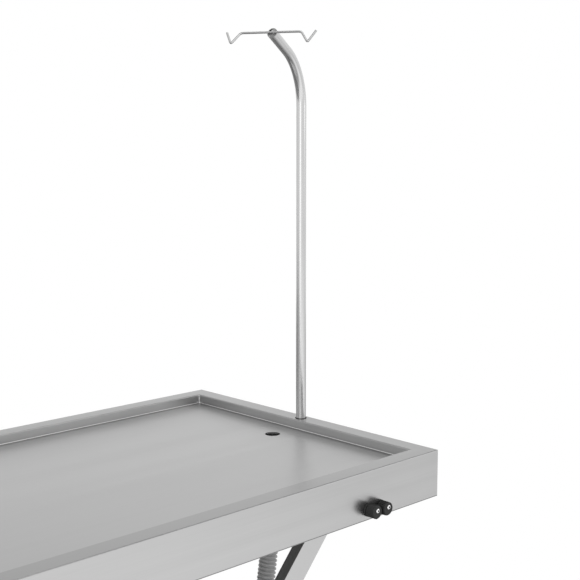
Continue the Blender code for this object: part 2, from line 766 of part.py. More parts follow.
def drive_pin(name, point, direction, length):
    return smooth(rod(name, DRIVE_PIN_RADIUS, length, Matrix.Translation(point) @ facing(direction), ZINC))


def lifting_tube():
    """A stub of tube from each outer arm to its lug. The rod swings between the lugs. A web joins them."""
    middle = outer_point(LUG_REACH)
    pivot = outer_point(LUG_REACH, LUG_STANDOFF)
    web_reach = EYE_RADIUS + FORK_SPACE + FORK_WEB / 2
    web = box(
        "lifting_tube",
        (FORK_WEB, 2 * (LUG_RADIUS - WELD_OVERLAP), 2 * (FORK_HALF_WIDTH + WELD_OVERLAP)),
        lug_frame(middle, pivot, 0),
        STAINLESS,
        (LUG_STANDOFF + web_reach, 0, 0),
    )
    start = FORK_HALF_WIDTH + WELD_OVERLAP
    length = OUTER_ARM_IN_Y - GAP - start
    for word, side in SIDES.items():
        y = side * (FORK_HALF_WIDTH + LUG_THICKNESS / 2)
        join(web, flat_lug("rod_lug_" + word, middle, pivot, y, web_reach))
        place = Matrix.Translation(middle) @ at(0, side * (start + length / 2), 0) @ facing((0, 1, 0))
        join(web, rod("stub_tube_" + word, CROSS_TUBE_RADIUS, length, place, steps=TURN_STEPS))
    bored = round_hole("lug_hole", pivot, (0, 1, 0), DRIVE_PIN_RADIUS + GAP, TOP_WIDTH)
    bore = CROSS_TUBE_RADIUS - CROSS_TUBE_WALL
    inside = round_hole("stub_tube_inside", middle, (0, 1, 0), bore, TOP_WIDTH, TURN_STEPS)
    return cut(web, bored, inside)


def base():
    pin_hole = round_hole("base_pin_hole", BASE_PIVOT, (0, 1, 0), PIN_RADIUS + GAP, TOP_WIDTH)
    made = []
    for word, side in SIDES.items():
        channel = rail("base_rail_" + word, side, BASE_RAIL_Z, [pin_hole])
        for x in (POLE_FOOT_X, FREE_FOOT_X):
            point = (x, side * ROLLER_Y, BASE_RAIL_CLEARANCE)
            nut_at = at(*point) @ at(0, 0, WELD_OVERLAP - NUT_HEIGHT / 2)
            join(channel, rod("weld_nut", NUT_RADIUS, NUT_HEIGHT, nut_at, steps=HEX_SIDES))
            bore = 2 * (NUT_HEIGHT + RAIL_WALL)
            cut(channel, round_hole("foot_hole", point, (0, 0, 1), FOOT_ROD_RADIUS + GAP, bore))
        made.append(channel)
    made.append(cross_member("base_cross_pole_end", POLE_CROSS_X, BASE_RAIL_Z))
    made.append(cross_member("base_cross_free_end", FREE_CROSS_X, BASE_RAIL_Z))
    made.append(middle_cross())
    shaft = pivot_shaft(INNER_ARM_IN_Y, INNER_ARM_OUT_Y)
    made.append(crosswise("base_pivot_shaft", shaft, BASE_PIVOT, ZINC))
    carry("base_body", (0, 0, 0), made)


def middle_cross():
    """The cross member behind the cylinder's foot, with its clevis plates."""
    start = CYLINDER_PIVOT
    end = Vector((MIDDLE_CROSS_X - CROSS_WIDTH / 2, 0, CYLINDER_PIVOT.z))
    bored = round_hole("clevis_hole", CYLINDER_PIVOT, (0, 1, 0), DRIVE_PIN_RADIUS + GAP, TOP_WIDTH)
    beam = cross_member("base_cross_middle", MIDDLE_CROSS_X, BASE_RAIL_Z)
    y = EYE_WIDTH / 2 + GAP + LUG_THICKNESS / 2
    for word, side in SIDES.items():
        name = "clevis_" + word
        lug = flat_lug(name, start, end, side * y)
        limit = box(
            name + "_limit",
            (CROSS_WIDTH, OVERRUN + LUG_THICKNESS, 4 * LUG_RADIUS),
            at(MIDDLE_CROSS_X + WELD_OVERLAP, side * y, BASE_RAIL_Z),
        )
        join(beam, as_mesh(name + "_cut", cut(lug, limit)))
    return cut(beam, bored)


def levelling_feet():
    top = BASE_RAIL_Z + RAIL_INSIDE / 2 - FOOT_ROD_TOP_SPACE
    neck = FOOT_THICKNESS + FOOT_NECK
    profile = [
        (0, top),
        (FOOT_ROD_RADIUS, top),
        (FOOT_ROD_RADIUS, neck),
        (FOOT_RADIUS, FOOT_THICKNESS),
        (FOOT_RADIUS, 0),
        (0, 0),
    ]
    for end, x in (("pole_end", POLE_FOOT_X), ("free_end", FREE_FOOT_X)):
        for word, side in SIDES.items():
            name = "levelling_foot_" + end + "_" + word
            turned(name, profile, at(x, side * ROLLER_Y, 0), BLACK_PLASTIC, steps=HOLE_STEPS)


def table_frame():
    pin_hole = round_hole("table_pin_hole", TABLE_PIVOT, (0, 1, 0), PIN_RADIUS + GAP, 2 * RAIL_OUT_Y)
    made = [tray_top()]
    for word, side in SIDES.items():
        made.append(rail("table_rail_" + word, side, TABLE_RAIL_Z, [pin_hole]))
    made.append(cross_member("table_cross_pole_end", POLE_CROSS_X, TABLE_RAIL_Z))
    made.append(cross_member("table_cross_free_end", FREE_CROSS_X, TABLE_RAIL_Z))
    shaft = pivot_shaft(OUTER_ARM_IN_Y, OUTER_ARM_OUT_Y)
    made.append(crosswise("table_pivot_shaft", shaft, TABLE_PIVOT, ZINC))
    made += drain()
    made += cleat_bases()
    made.append(pole_socket())
    carry("table_body", TABLE_PIVOT, made)


def drain():
    floor = -TRAY_DEPTH - SHEET - GAP
    flange = floor - SPIGOT_FLANGE
    bottom = floor - SPIGOT_LENGTH
    spigot = [
        (DRAIN_RADIUS, floor),
        (SPIGOT_FLANGE_RADIUS, floor),
        (SPIGOT_FLANGE_RADIUS, flange),
        (SPIGOT_RADIUS, flange),
        (SPIGOT_RADIUS, bottom),
        (DRAIN_RADIUS, bottom),
    ]
    place = at(DRAIN_X, 0, TOP_Z)
    cuff_top = flange - CUFF_TOP_SPACE
    cuff_bottom = bottom - CUFF_STOP
    cuff = [
        (CUFF_BORE, cuff_top),
        (CUFF_RADIUS, cuff_top),
        (CUFF_RADIUS, cuff_bottom),
        (HOSE_BORE_RADIUS, cuff_bottom),
        (HOSE_BORE_RADIUS, bottom - GAP),
        (CUFF_BORE, bottom - GAP),
    ]
    return [
        turned("drain_spigot", spigot, place, STAINLESS, ring=True),
        turned("hose_cuff", cuff, place, RUBBER, ring=True),
        drain_hose(TOP_Z + cuff_bottom - GAP),
    ]


def hose_curve(t):
    """A smooth curve through the route's points (Catmull-Rom), t running from 0 to 1."""
    spans = len(HOSE_ROUTE) - 1
    i = min(int(t * spans), spans - 1)
    u = t * spans - i
    a, b, c, d = (Vector(HOSE_ROUTE[min(max(i + k, 0), spans)]) for k in (-1, 0, 1, 2))
    return 0.5 * (2 * b + (c - a) * u + (2 * a - 5 * b + 4 * c - d) * u**2 + (3 * b - a - 3 * c + d) * u**3)


def even_route(count):
    """The hose's route in points of even spacing along it."""
    fine = [hose_curve(i / ROUTE_STEPS) for i in range(ROUTE_STEPS + 1)]
    run = [0.0]
    for before, after in zip(fine, fine[1:]):
        run.append(run[-1] + (after - before).length)
    points = []
    k = 0
    for i in range(count):
        wanted = run[-1] * i / (count - 1)
        while k < len(run) - 2 and run[k + 1] < wanted:
            k += 1
        share = (wanted - run[k]) / (run[k + 1] - run[k])
        spot = fine[k].lerp(fine[k + 1], share)
        points.append(Vector((spot.x, 0, spot.y)) * (HOSE_LENGTH / run[-1]))
    return points


def drain_hose(z):
    """The ribbed hose: crests and valleys in turn, with a plain bore."""
    ribs = round(HOSE_LENGTH / RIB_PITCH)
    points = even_route(2 * ribs + 1)
    valley = 1 - RIB_DEPTH / HOSE_RADIUS
    radii = [1 if i % 2 == 0 else valley for i in range(len(points))]
    hose = tube("drain_hose", points, HOSE_RADIUS, at(DRAIN_X, 0, z), GREY_HOSE, radii=radii)
    inside = even_route(ribs // 2 + 1)
    inside = [inside[0] + Vector((0, 0, OVERRUN)), *inside[1:-1], inside[-1] - Vector((0, 0, OVERRUN))]
    return cut(hose, tube("hose_bore", inside, HOSE_BORE_RADIUS, at(DRAIN_X, 0, z)))


def pole_socket():
    """A cup welded under the rim, in which the drip pole stands."""
    bore = BUSH_RADIUS + GAP
    top = -SHEET - GAP
    floor = -POLE_DEPTH - GAP
    profile = [
        (0, floor),
        (bore, floor),
        (bore, top),
        (bore + SOCKET_WALL, top),
        (bore + SOCKET_WALL, floor - SOCKET_FLOOR),
        (0, floor - SOCKET_FLOOR),
    ]
    return turned("pole_socket", profile, at(POLE_X, 0, TOP_Z), STAINLESS)


def pole_bush():
    profile = hollow(POLE_RADIUS + GAP, BUSH_RADIUS, -BUSH_LENGTH, BUSH_PROUD)
    bush = turned("pole_bush", profile, at(POLE_X, 0, TOP_Z), BLACK_PLASTIC, ring=True)
    carry("pole_bush_body", (POLE_X, 0, TOP_Z), [bush])


def crook_point(turn):
    """A point of the crook's arc: its distance out from the pole's line, and up."""
    return CROOK_RADIUS * (1 - math.cos(turn)), POLE_STRAIGHT + CROOK_RADIUS * math.sin(turn)


def drip_pole():
    heading = Vector((math.cos(CROOK_HEADING), math.sin(CROOK_HEADING), 0))
    up = Vector((0, 0, 1))
    points = [Vector((0, 0, -POLE_DEPTH))]
    for i in range(CROOK_STEPS + 1):
        out, height = crook_point(CROOK_ANGLE * i / CROOK_STEPS)
        points.append(heading * out + up * height)
    end_way = heading * math.sin(CROOK_ANGLE) + up * math.cos(CROOK_ANGLE)
    points.append(points[-1] + end_way * CROOK_TAIL)
    place = at(POLE_X, 0, TOP_Z)
    pole = tube("drip_pole", points, POLE_RADIUS, place, STAINLESS, resolution=6)
    plug = POLE_MOUTH_DEPTH + POLE_WALL
    inside = [points[0] - up * OVERRUN, *points[1:-1], points[-1] - end_way * plug]
    mouth = [points[-1] - end_way * POLE_MOUTH_DEPTH, points[-1] + end_way * OVERRUN]
    for name, route in (("pole_inside", inside), ("pole_mouth", mouth)):
        cut(pole, tube(name, route, POLE_RADIUS - POLE_WALL, place, resolution=4))
    bar = end_way.cross(heading).normalized()
    if bar.y > 0:
        bar.negate()
    bar.rotate(Matrix.Rotation(-HOOK_ROLL, 3, end_way))
    fall = bar.cross(end_way)
    if fall.z > 0:
        fall.negate()
    hook_at = points[-1] - end_way * HOOK_SETBACK - fall * HOOK_LIFT - bar * HOOK_SHIFT
    cut(pole, round_hole("hook_cut", place @ hook_at, bar, WIRE_RADIUS + GAP, 4 * POLE_RADIUS, SCREW_STEPS))
    turn = Matrix((bar, end_way.cross(bar), end_way)).transposed().to_4x4()
    notch = (4 * POLE_RADIUS, 2 * (WIRE_RADIUS + GAP), OVERRUN)
    notch_place = place @ Matrix.Translation(hook_at) @ turn
    cut(pole, box("hook_notch", notch, notch_place, None, (0, 0, OVERRUN / 2)))
    shoulder = HOOK_HALF_BAR
    valley = shoulder + HOOK_FALL_OUT
    tip = valley + HOOK_RISE_OUT
    outline = [
        (-tip, HOOK_FALL - HOOK_RISE),
        (-valley, HOOK_FALL),
        (-shoulder, 0),
        (shoulder, 0),
        (valley, HOOK_FALL),
        (tip, HOOK_FALL - HOOK_RISE),
    ]
    corners = [hook_at + bar * along + fall * down for along, down in outline]
    hook = tube("drip_hook", rounded_route(corners, HOOK_BEND), WIRE_RADIUS, place, STAINLESS)
    carry("drip_pole_body", (POLE_X, 0, TOP_Z), [smooth(pole), hook])


def cam_places():
    """Each cam's name, screw X, side and whether its mate lies towards +X (1) or -X (-1)."""
    for end, sign in (("pole_end", 1), ("free_end", -1)):
        for word, side in SIDES.items():
            for hand, mate in (("left", 1), ("right", -1)):
                x = sign * CLEAT_X - mate * CAM_SPACING / 2
                yield "cleat_cam_" + end + "_" + word + "_" + hand, x, side, mate


def screw_places():
    for sign in (1, -1):
        for mate in (1, -1):
            yield sign * CLEAT_X + mate * CAM_SPACING / 2


def cam_outline(mate):
    """An eccentric round cam with teeth towards its mate. X runs along the table and Y is up."""
    points = []
    toothed = CAM_STEPS // 4
    for i in range(CAM_STEPS):
        angle = 2 * math.pi * i / CAM_STEPS
        radius = CAM_RADIUS
        facing_mate = min(i, CAM_STEPS - i) <= toothed
        if facing_mate and i % 2 == 1:
            radius -= CAM_TOOTH
        points.append((mate * radius * math.cos(angle), radius * math.sin(angle) - CAM_LOBE))
    return points


def cams():
    base_out = SIDE_Y + GAP + CLEAT_BASE
    middle = base_out + GAP + CAM_HEIGHT / 2
    bore = SCREW_RADIUS + GAP
    for name, x, side, mate in cam_places():
        place = (x, side * middle, CLEAT_Z)
        cam = plate(name, cam_outline(mate), CAM_HEIGHT, at(*place) @ UPRIGHT, BLACK_PLASTIC)
        cut(cam, round_hole(name + "_bore", place, (0, 1, 0), bore, 2 * CAM_HEIGHT, SCREW_STEPS))
        carry(name + "_body", place, [cam])


def cleat_bases():
    """Each cleat's base plate with the two hex socket screws that hold it and that its cams turn on."""
    middle = SIDE_Y + GAP + CLEAT_BASE / 2
    outline = capsule(CAM_SPACING, CLEAT_BASE_RADIUS)
    made = []
    for end, sign in (("pole_end", 1), ("free_end", -1)):
        for word, side in SIDES.items():
            name = "cleat_base_" + end + "_" + word
            left = sign * CLEAT_X - CAM_SPACING / 2
            matrix = at(left, side * middle, CLEAT_Z - CAM_LOBE / 2) @ UPRIGHT
            base_plate = plate(name, outline, CLEAT_BASE, matrix, BLACK_PLASTIC)
            for x in (left, left + CAM_SPACING):
                join(base_plate, cleat_screw(x, side, CLEAT_Z))
            made.append(base_plate)
    return made


def cleat_screw(x, side, z):
    under = SIDE_Y + 3 * GAP + CLEAT_BASE + CAM_HEIGHT
    profile = [
        (0, under + SCREW_HEAD),
        (SCREW_HEAD_RADIUS, under + SCREW_HEAD),
        (SCREW_HEAD_RADIUS, under),
        (SCREW_RADIUS, under),
        (SCREW_RADIUS, SIDE_Y - SHEET),
        (0, SIDE_Y - SHEET),
    ]
    screw = turned("screw", profile, at(x, 0, z) @ side_turn(side), steps=SCREW_STEPS)
    face = side * (under + SCREW_HEAD)
    socket = rod("screw_socket", HEX_RADIUS, 2 * HEX_DEPTH, at(x, face, z) @ side_turn(side), steps=HEX_SIDES)
    return as_mesh("cleat_screw", cut(screw, socket))


def cylinder_way():
    """From the cylinder's foot pivot to the rod's pivot."""
    return outer_point(LUG_REACH, LUG_STANDOFF) - CYLINDER_PIVOT


def hydraulic_cylinder():
    way = cylinder_way()
    frame = Matrix.Translation(CYLINDER_PIVOT) @ facing(way)
    rod_bore = ROD_RADIUS + GAP
    barrel_end = way.length - ROD_SHOWN
    bore_end = barrel_end - GLAND
    barrel = [
        (0, BARREL_BORE_START),
        (BARREL_BORE, BARREL_BORE_START),
        (BARREL_BORE, bore_end),
        (rod_bore, bore_end),
        (rod_bore, barrel_end),
        (BARREL_RADIUS, barrel_end),
        (BARREL_RADIUS, BARREL_START),
        (NECK_RADIUS, BARREL_START),
        (NECK_RADIUS, NECK_START),
        (0, NECK_START),
    ]
    body = turned("cylinder_body", barrel, frame, STAINLESS)
    eye = rod("body_eye", EYE_RADIUS, EYE_WIDTH, Matrix.Translation(CYLINDER_PIVOT) @ facing((0, 1, 0)))
    join(body, eye)
    cut(body, round_hole("body_eye_bore", CYLINDER_PIVOT, (0, 1, 0), DRIVE_PIN_RADIUS + GAP, 2 * EYE_WIDTH))
    carry("cylinder_body_frame", CYLINDER_PIVOT, [body])
    piston_top = bore_end - PISTON_SPACE
    piston_bottom = piston_top - PISTON_THICKNESS
    rod_profile = [
        (0, way.length),
        (ROD_RADIUS, way.length),
        (ROD_RADIUS, piston_top),
        (BARREL_BORE - GAP, piston_top),
        (BARREL_BORE - GAP, piston_bottom),
        (0, piston_bottom),
    ]
    shaft = turned("cylinder_rod", rod_profile, frame, CHROME)
    end = CYLINDER_PIVOT + way
    bore = DRIVE_PIN_RADIUS + LOOSE_PIVOT_PLAY
    join(shaft, rod("rod_eye", EYE_RADIUS, EYE_WIDTH, Matrix.Translation(end) @ facing((0, 1, 0))))
    cut(shaft, round_hole("rod_eye_bore", end, (0, 1, 0), bore, 2 * EYE_WIDTH))
    carry("cylinder_rod_frame", CYLINDER_PIVOT, [shaft])


def foot_pump():
    x = PUMP_X + PUMP_LENGTH / 2
    y = -PUMP_FRONT + PUMP_DEPTH / 2
    z = PUMP_BOTTOM + PUMP_HEIGHT / 2
    block = box("pump_block", (PUMP_LENGTH, PUMP_DEPTH, PUMP_HEIGHT), at(x, y, z), PUMP_PAINT)
    soften(block, PUMP_EDGE, 2)
    pin = Vector((PUMP_X + PEDAL_INSET, PEDAL_PIVOT_Y, PEDAL_AXIS_HEIGHT))
    reach = PEDAL_AXIS_OFFSET + LUG_RADIUS
    for word, sign in (("left", -1), ("right", 1)):
        name = "pedal_lug_" + word
        lug_x = pin.x + sign * PEDAL_LUG_OFFSET
        lug_at = at(lug_x, pin.y + reach / 2, pin.z - LUG_RADIUS / 2)
        lug = box(name, (PEDAL_LUG_THICKNESS, reach, 2 * LUG_RADIUS), lug_at)
        nose_at = at(lug_x, pin.y, pin.z) @ facing((1, 0, 0))
        join(block, lug, rod(name + "_nose", LUG_RADIUS, PEDAL_LUG_THICKNESS, nose_at))
    cut(block, round_hole("pedal_pin_hole", pin, (1, 0, 0), DRIVE_PIN_RADIUS + GAP, PUMP_LENGTH))
    pins = [
        drive_pin("cylinder_pin", CYLINDER_PIVOT, (0, 1, 0), CYLINDER_PIN_LENGTH),
        drive_pin("pedal_pin", pin, (1, 0, 0), PEDAL_PIN_LENGTH),
    ]
    carry("pump_body", (x, y, z), [block, *pins, pressure_pipe()])
    hub_offset = (PEDAL_HUB_WIDTH + GAP) / 2
    pad_shift = (PUMP_PAD_WIDTH - PEDAL_HUB_WIDTH) / 2
    pedal("release_pedal", pin.x - hub_offset, 0, PEDAL_HUB_WIDTH, RELEASE_PEDAL_ANGLE)
    pedal("pump_pedal", pin.x + hub_offset, pad_shift, PUMP_PAD_WIDTH, PUMP_PEDAL_ANGLE)


def pedal(name, x, pad_shift, pad_width, angle):
    """A hub on the pedal pin, an arm out over the near rail and a pad. It lies flat when fully pressed."""
    pivot = Vector((x, PEDAL_PIVOT_Y, PEDAL_AXIS_HEIGHT))
    frame = Matrix.Translation(pivot) @ Matrix.Rotation(-angle, 4, "X")
    arm_length = PEDAL_ARM_LENGTH + PEDAL_PAD_LENGTH / 2
    bar = box(
        name,
        (PEDAL_ARM_WIDTH, arm_length, PEDAL_ARM_THICKNESS),
        frame,
        DARK_STEEL,
        (0, -arm_length / 2, 0),
    )
    pad = box(
        name + "_pad",
        (pad_width, PEDAL_PAD_LENGTH, PEDAL_PAD_THICKNESS),
        frame,
        None,
        (pad_shift, -PEDAL_ARM_LENGTH - PEDAL_PAD_LENGTH / 2, 0),
    )
    soften(pad, PEDAL_EDGE, 2)
    hub = rod(name + "_hub", PEDAL_HUB_RADIUS, PEDAL_HUB_WIDTH, Matrix.Translation(pivot) @ facing((1, 0, 0)))
    join(bar, pad, hub)
    cut(bar, round_hole(name + "_bore", pivot, (1, 0, 0), DRIVE_PIN_RADIUS + GAP, 2 * PEDAL_HUB_WIDTH))
    carry(name + "_body", pivot, [bar])


def pressure_pipe():
    """From the top of the pump over the cross member to the end of the cylinder's hollow pin."""
    port_y = -PUMP_FRONT + PUMP_DEPTH - PIPE_START
    start = Vector((PUMP_X + PIPE_START, port_y, PUMP_BOTTOM + PUMP_HEIGHT + GAP))
    high = start.z + PIPE_RISE
    pin_end = -CYLINDER_PIN_LENGTH / 2 - GAP
    beside = pin_end - PIPE_SIDE
    corners = [
        start,
        (start.x, start.y, high),
        (CYLINDER_X, beside, high),
        (CYLINDER_X, beside, CYLINDER_PIVOT.z),
        (CYLINDER_X, pin_end, CYLINDER_PIVOT.z),
    ]
    return tube("pressure_pipe", rounded_route(corners, PIPE_BEND), PIPE_RADIUS, at(0, 0, 0), ZINC)


def carry(name, origin, pieces):
    """Hangs a body's pieces on an empty at its joint, each piece staying in its place."""
    empty = bpy.data.objects.new(name, None)
    bpy.data.collections[PARTS_NAME].objects.link(empty)
    empty.location = origin
    bpy.context.view_layer.update()
    for piece in pieces:
        piece.parent = empty
        piece.matrix_parent_inverse = empty.matrix_world.inverted()


def build():
    clear_scene()
    new_collection(PARTS_NAME)
    new_collection(CUTTERS_NAME)
    base()
    levelling_feet()
    inner_arms()
    outer_arms()
    hydraulic_cylinder()
    foot_pump()
    table_frame()
    cams()
    pole_bush()
    drip_pole()


build()
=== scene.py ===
import json
import math

import bmesh
import bpy
from mathutils import Matrix, Vector


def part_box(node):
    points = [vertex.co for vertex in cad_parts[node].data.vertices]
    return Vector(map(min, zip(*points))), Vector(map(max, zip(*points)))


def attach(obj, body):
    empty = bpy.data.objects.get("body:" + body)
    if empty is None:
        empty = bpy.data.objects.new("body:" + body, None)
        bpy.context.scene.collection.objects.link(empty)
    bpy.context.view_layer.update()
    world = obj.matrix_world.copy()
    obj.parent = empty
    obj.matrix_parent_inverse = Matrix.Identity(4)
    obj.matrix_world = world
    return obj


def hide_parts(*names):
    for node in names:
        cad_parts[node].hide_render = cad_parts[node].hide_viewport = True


bl_info = {
    "name": "Veterinary treatment table",
    "version": (1, 0, 0),
    "blender": (4, 5, 0),
    "location": "View3D > Sidebar > Table",
    "description": "Dresses the frame of a veterinary treatment table in its finished surfaces",
    "category": "Object",
}

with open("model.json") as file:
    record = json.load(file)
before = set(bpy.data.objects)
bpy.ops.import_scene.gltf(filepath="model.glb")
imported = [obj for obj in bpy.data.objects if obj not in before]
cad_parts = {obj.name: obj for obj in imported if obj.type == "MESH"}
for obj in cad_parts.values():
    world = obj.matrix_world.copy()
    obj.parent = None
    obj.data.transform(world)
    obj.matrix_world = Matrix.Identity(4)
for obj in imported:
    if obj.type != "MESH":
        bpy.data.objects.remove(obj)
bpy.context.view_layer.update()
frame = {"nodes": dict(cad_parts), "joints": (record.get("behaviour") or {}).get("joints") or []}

# Places that the frame gives, in metres
TRAY_LOW, TRAY_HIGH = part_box("tray_top")
TOP_Z = TRAY_HIGH.z
SKIRT_Z = TRAY_LOW.z
SOCKET_LOW, SOCKET_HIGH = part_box("pole_socket")
POLE_X = (SOCKET_LOW.x + SOCKET_HIGH.x) / 2
SPIGOT_LOW, SPIGOT_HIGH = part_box("drain_spigot")
DRAIN_X = (SPIGOT_LOW.x + SPIGOT_HIGH.x) / 2
HOSE_TOP_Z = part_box("hose_cuff")[0].z
JOINTS = {joint["name"]: joint for joint in frame["joints"]}

UP = (0, 0, 1)
ACROSS = (0, 1, 0)
GAP = 0.0003
MERGE = 1e-6
SCREW_HOLE = 0.0028
SIDES = {"near": -1, "far": 1}
ENDS = {"pole_end": 1, "free_end": -1}


# Settings that a user would change

class TraySettings(bpy.types.PropertyGroup):
    sheet: bpy.props.FloatProperty(
        name="Sheet", description="Thickness of the steel sheet", default=0.0015, subtype="DISTANCE"
    )
    rim_width: bpy.props.FloatProperty(
        name="Rim width", description="Width of the flat rim", default=0.035, subtype="DISTANCE"
    )
    depth: bpy.props.FloatProperty(
        name="Tray depth", description="How far the floor lies below the rim", default=0.018,
        subtype="DISTANCE",
    )
    bend_radius: bpy.props.FloatProperty(
        name="Bend radius", description="Outer radius of the folded edges", default=0.0017,
        subtype="DISTANCE",
    )
    bend_steps: bpy.props.IntProperty(
        name="Bend steps", description="Facets in each bend", default=4, min=1
    )
    weld_radius: bpy.props.FloatProperty(
        name="Weld radius", description="Half width of the corner welds", default=0.0011,
        subtype="DISTANCE",
    )


class DrainSettings(bpy.types.PropertyGroup):
    hole_radius: bpy.props.FloatProperty(
        name="Hole radius", description="Radius of the punched drain hole", default=0.01425,
        subtype="DISTANCE",
    )
    hose_radius: bpy.props.FloatProperty(
        name="Hose radius", description="Outer radius of the hose's ribs", default=0.0175,
        subtype="DISTANCE",
    )
    hose_wall: bpy.props.FloatProperty(
        name="Hose wall", description="Wall of the hose under its ribs", default=0.0022,
        subtype="DISTANCE",
    )
    hose_length: bpy.props.FloatProperty(
        name="Hose length", description="Length of the hose", default=0.330, subtype="DISTANCE"
    )
    rib_pitch: bpy.props.FloatProperty(
        name="Rib pitch", description="Distance from rib to rib", default=0.0078, subtype="DISTANCE"
    )
    rib_depth: bpy.props.FloatProperty(
        name="Rib depth", description="Depth of the valleys between ribs", default=0.0036,
        subtype="DISTANCE",
    )
    rib_sharpness: bpy.props.FloatProperty(
        name="Rib sharpness", description="Higher makes narrower valleys between the ribs", default=2.2,
        min=1,
    )


class PoleSettings(bpy.types.PropertyGroup):
    radius: bpy.props.FloatProperty(
        name="Pole radius", description="Radius of the bent tube", default=0.0095, subtype="DISTANCE"
    )
    depth: bpy.props.FloatProperty(
        name="Depth", description="Length of pole inside its socket", default=0.120, subtype="DISTANCE"
    )
    straight: bpy.props.FloatProperty(
        name="Straight run", description="From the rim up to the bend", default=0.597,
        subtype="DISTANCE",
    )
    bend_radius: bpy.props.FloatProperty(
        name="Bend radius", description="Radius of the crook", default=0.108, subtype="DISTANCE"
    )
    bend_angle: bpy.props.FloatProperty(
        name="Bend angle", description="Turn of the crook", default=math.radians(66), subtype="ANGLE"
    )
    heading: bpy.props.FloatProperty(
        name="Heading", description="Direction that the crook leans to", default=math.radians(201),
        subtype="ANGLE",
    )
    tail: bpy.props.FloatProperty(
        name="Tail", description="Straight tube after the bend", default=0.0655, subtype="DISTANCE"
    )
    wall: bpy.props.FloatProperty(
        name="Pole wall", description="Wall of the bent tube", default=0.0015, subtype="DISTANCE"
    )
    wire_radius: bpy.props.FloatProperty(
        name="Wire radius", description="Radius of the hook's wire", default=0.002, subtype="DISTANCE"
    )
    hook_bend: bpy.props.FloatProperty(
        name="Hook bend", description="Rounding of the hook's corners", default=0.005,
        subtype="DISTANCE",
    )


class CleatSettings(bpy.types.PropertyGroup):
    cam_radius: bpy.props.FloatProperty(
        name="Cam radius", description="Radius of a cam's drum", default=0.0118, subtype="DISTANCE"
    )
    lobe: bpy.props.FloatProperty(
        name="Lobe", description="How far a drum's middle lies below its screw", default=0.003,
        subtype="DISTANCE",
    )
    edge: bpy.props.FloatProperty(
        name="Edge", description="Rounding of a drum's front edge", default=0.0018, subtype="DISTANCE"
    )
    tooth: bpy.props.FloatProperty(
        name="Tooth", description="Height of a cam's teeth", default=0.0008, subtype="DISTANCE"
    )
    tooth_count: bpy.props.IntProperty(name="Teeth", description="Teeth on each cam", default=13, min=1)
    screw_radius: bpy.props.FloatProperty(
        name="Screw head", description="Radius of the screws' heads", default=0.0038, subtype="DISTANCE"
    )


class LiftSettings(bpy.types.PropertyGroup):
    tube_edge: bpy.props.FloatProperty(
        name="Tube edge", description="Corner rounding of the arms' tubes", default=0.0022,
        subtype="DISTANCE",
    )
    rail_edge: bpy.props.FloatProperty(
        name="Rail edge", description="Corner rounding of the rails", default=0.0012, subtype="DISTANCE"
    )
    plate_edge: bpy.props.FloatProperty(
        name="Plate edge", description="Rounding of plates and blocks", default=0.0008,
        subtype="DISTANCE",
    )
    turned_edge: bpy.props.FloatProperty(
        name="Turned edge", description="Chamfer of the turned pieces", default=0.0004,
        subtype="DISTANCE",
    )
    turn_steps: bpy.props.IntProperty(
        name="Turn steps", description="Facets round a turned piece", default=64, min=12
    )
    thread_pitch: bpy.props.FloatProperty(
        name="Thread pitch", description="Pitch of the feet's threads", default=0.00175,
        subtype="DISTANCE",
    )


class FinishSettings(bpy.types.PropertyGroup):
    steel: bpy.props.FloatVectorProperty(
        name="Stainless steel", description="Colour of the brushed steel", default=(0.50, 0.50, 0.50),
        size=3, subtype="COLOR", min=0, max=1,
    )
    pole: bpy.props.FloatVectorProperty(
        name="Pole steel", description="Colour of the finer brushed pole", default=(0.60, 0.60, 0.60),
        size=3, subtype="COLOR", min=0, max=1,
    )
    zinc: bpy.props.FloatVectorProperty(
        name="Zinc", description="Colour of the plated pins and axles", default=(0.55, 0.55, 0.53),
        size=3, subtype="COLOR", min=0, max=1,
    )
    dark_steel: bpy.props.FloatVectorProperty(
        name="Pedal paint", description="Colour of the painted pedals", default=(0.10, 0.10, 0.105),
        size=3, subtype="COLOR", min=0, max=1,
    )
    pump_paint: bpy.props.FloatVectorProperty(
        name="Pump paint", description="Colour of the painted pump block", default=(0.03, 0.032, 0.035),
        size=3, subtype="COLOR", min=0, max=1,
    )
    black: bpy.props.FloatVectorProperty(
        name="Black plastic", description="Colour of the cleats, bush and feet",
        default=(0.007, 0.007, 0.0075),
        size=3, subtype="COLOR", min=0, max=1,
    )
    nylon: bpy.props.FloatVectorProperty(
        name="Nylon", description="Colour of the rollers and washers", default=(0.70, 0.69, 0.64),
        size=3, subtype="COLOR", min=0, max=1,
    )
    hose: bpy.props.FloatVectorProperty(
        name="Hose", description="Colour of the drain hose", default=(0.40, 0.40, 0.40), size=3,
        subtype="COLOR", min=0, max=1,
    )
    rubber: bpy.props.FloatVectorProperty(
        name="Rubber", description="Colour of the hose's cuff", default=(0.02, 0.02, 0.02), size=3,
        subtype="COLOR", min=0, max=1,
    )


class StudioSettings(bpy.types.PropertyGroup):
    key_power: bpy.props.FloatProperty(
        name="Key light", description="Power of the main soft light", default=14, unit="POWER"
    )
    fill_power: bpy.props.FloatProperty(
        name="Fill light", description="Power of the second soft light", default=6, unit="POWER"
    )
    room: bpy.props.FloatProperty(name="Room", description="Brightness of the room's walls", default=1.0)
    shadow_reach: bpy.props.FloatProperty(
        name="Shadow reach", description="How far from the middle the floor shows shadows", default=1.6,
        subtype="DISTANCE",
    )
    # Brightness of the floor's painted glow in reflections
    floor_glow: bpy.props.FloatProperty(
        name="Floor glow", description="How bright the floor is in reflections", default=1.3, min=0
    )
    floor_tone: bpy.props.FloatProperty(name="Floor tone", description="Grey of the floor", default=0.5)
    floor_size: bpy.props.FloatProperty(
        name="Floor size", description="Side of the square floor", default=14.0, subtype="DISTANCE"
    )


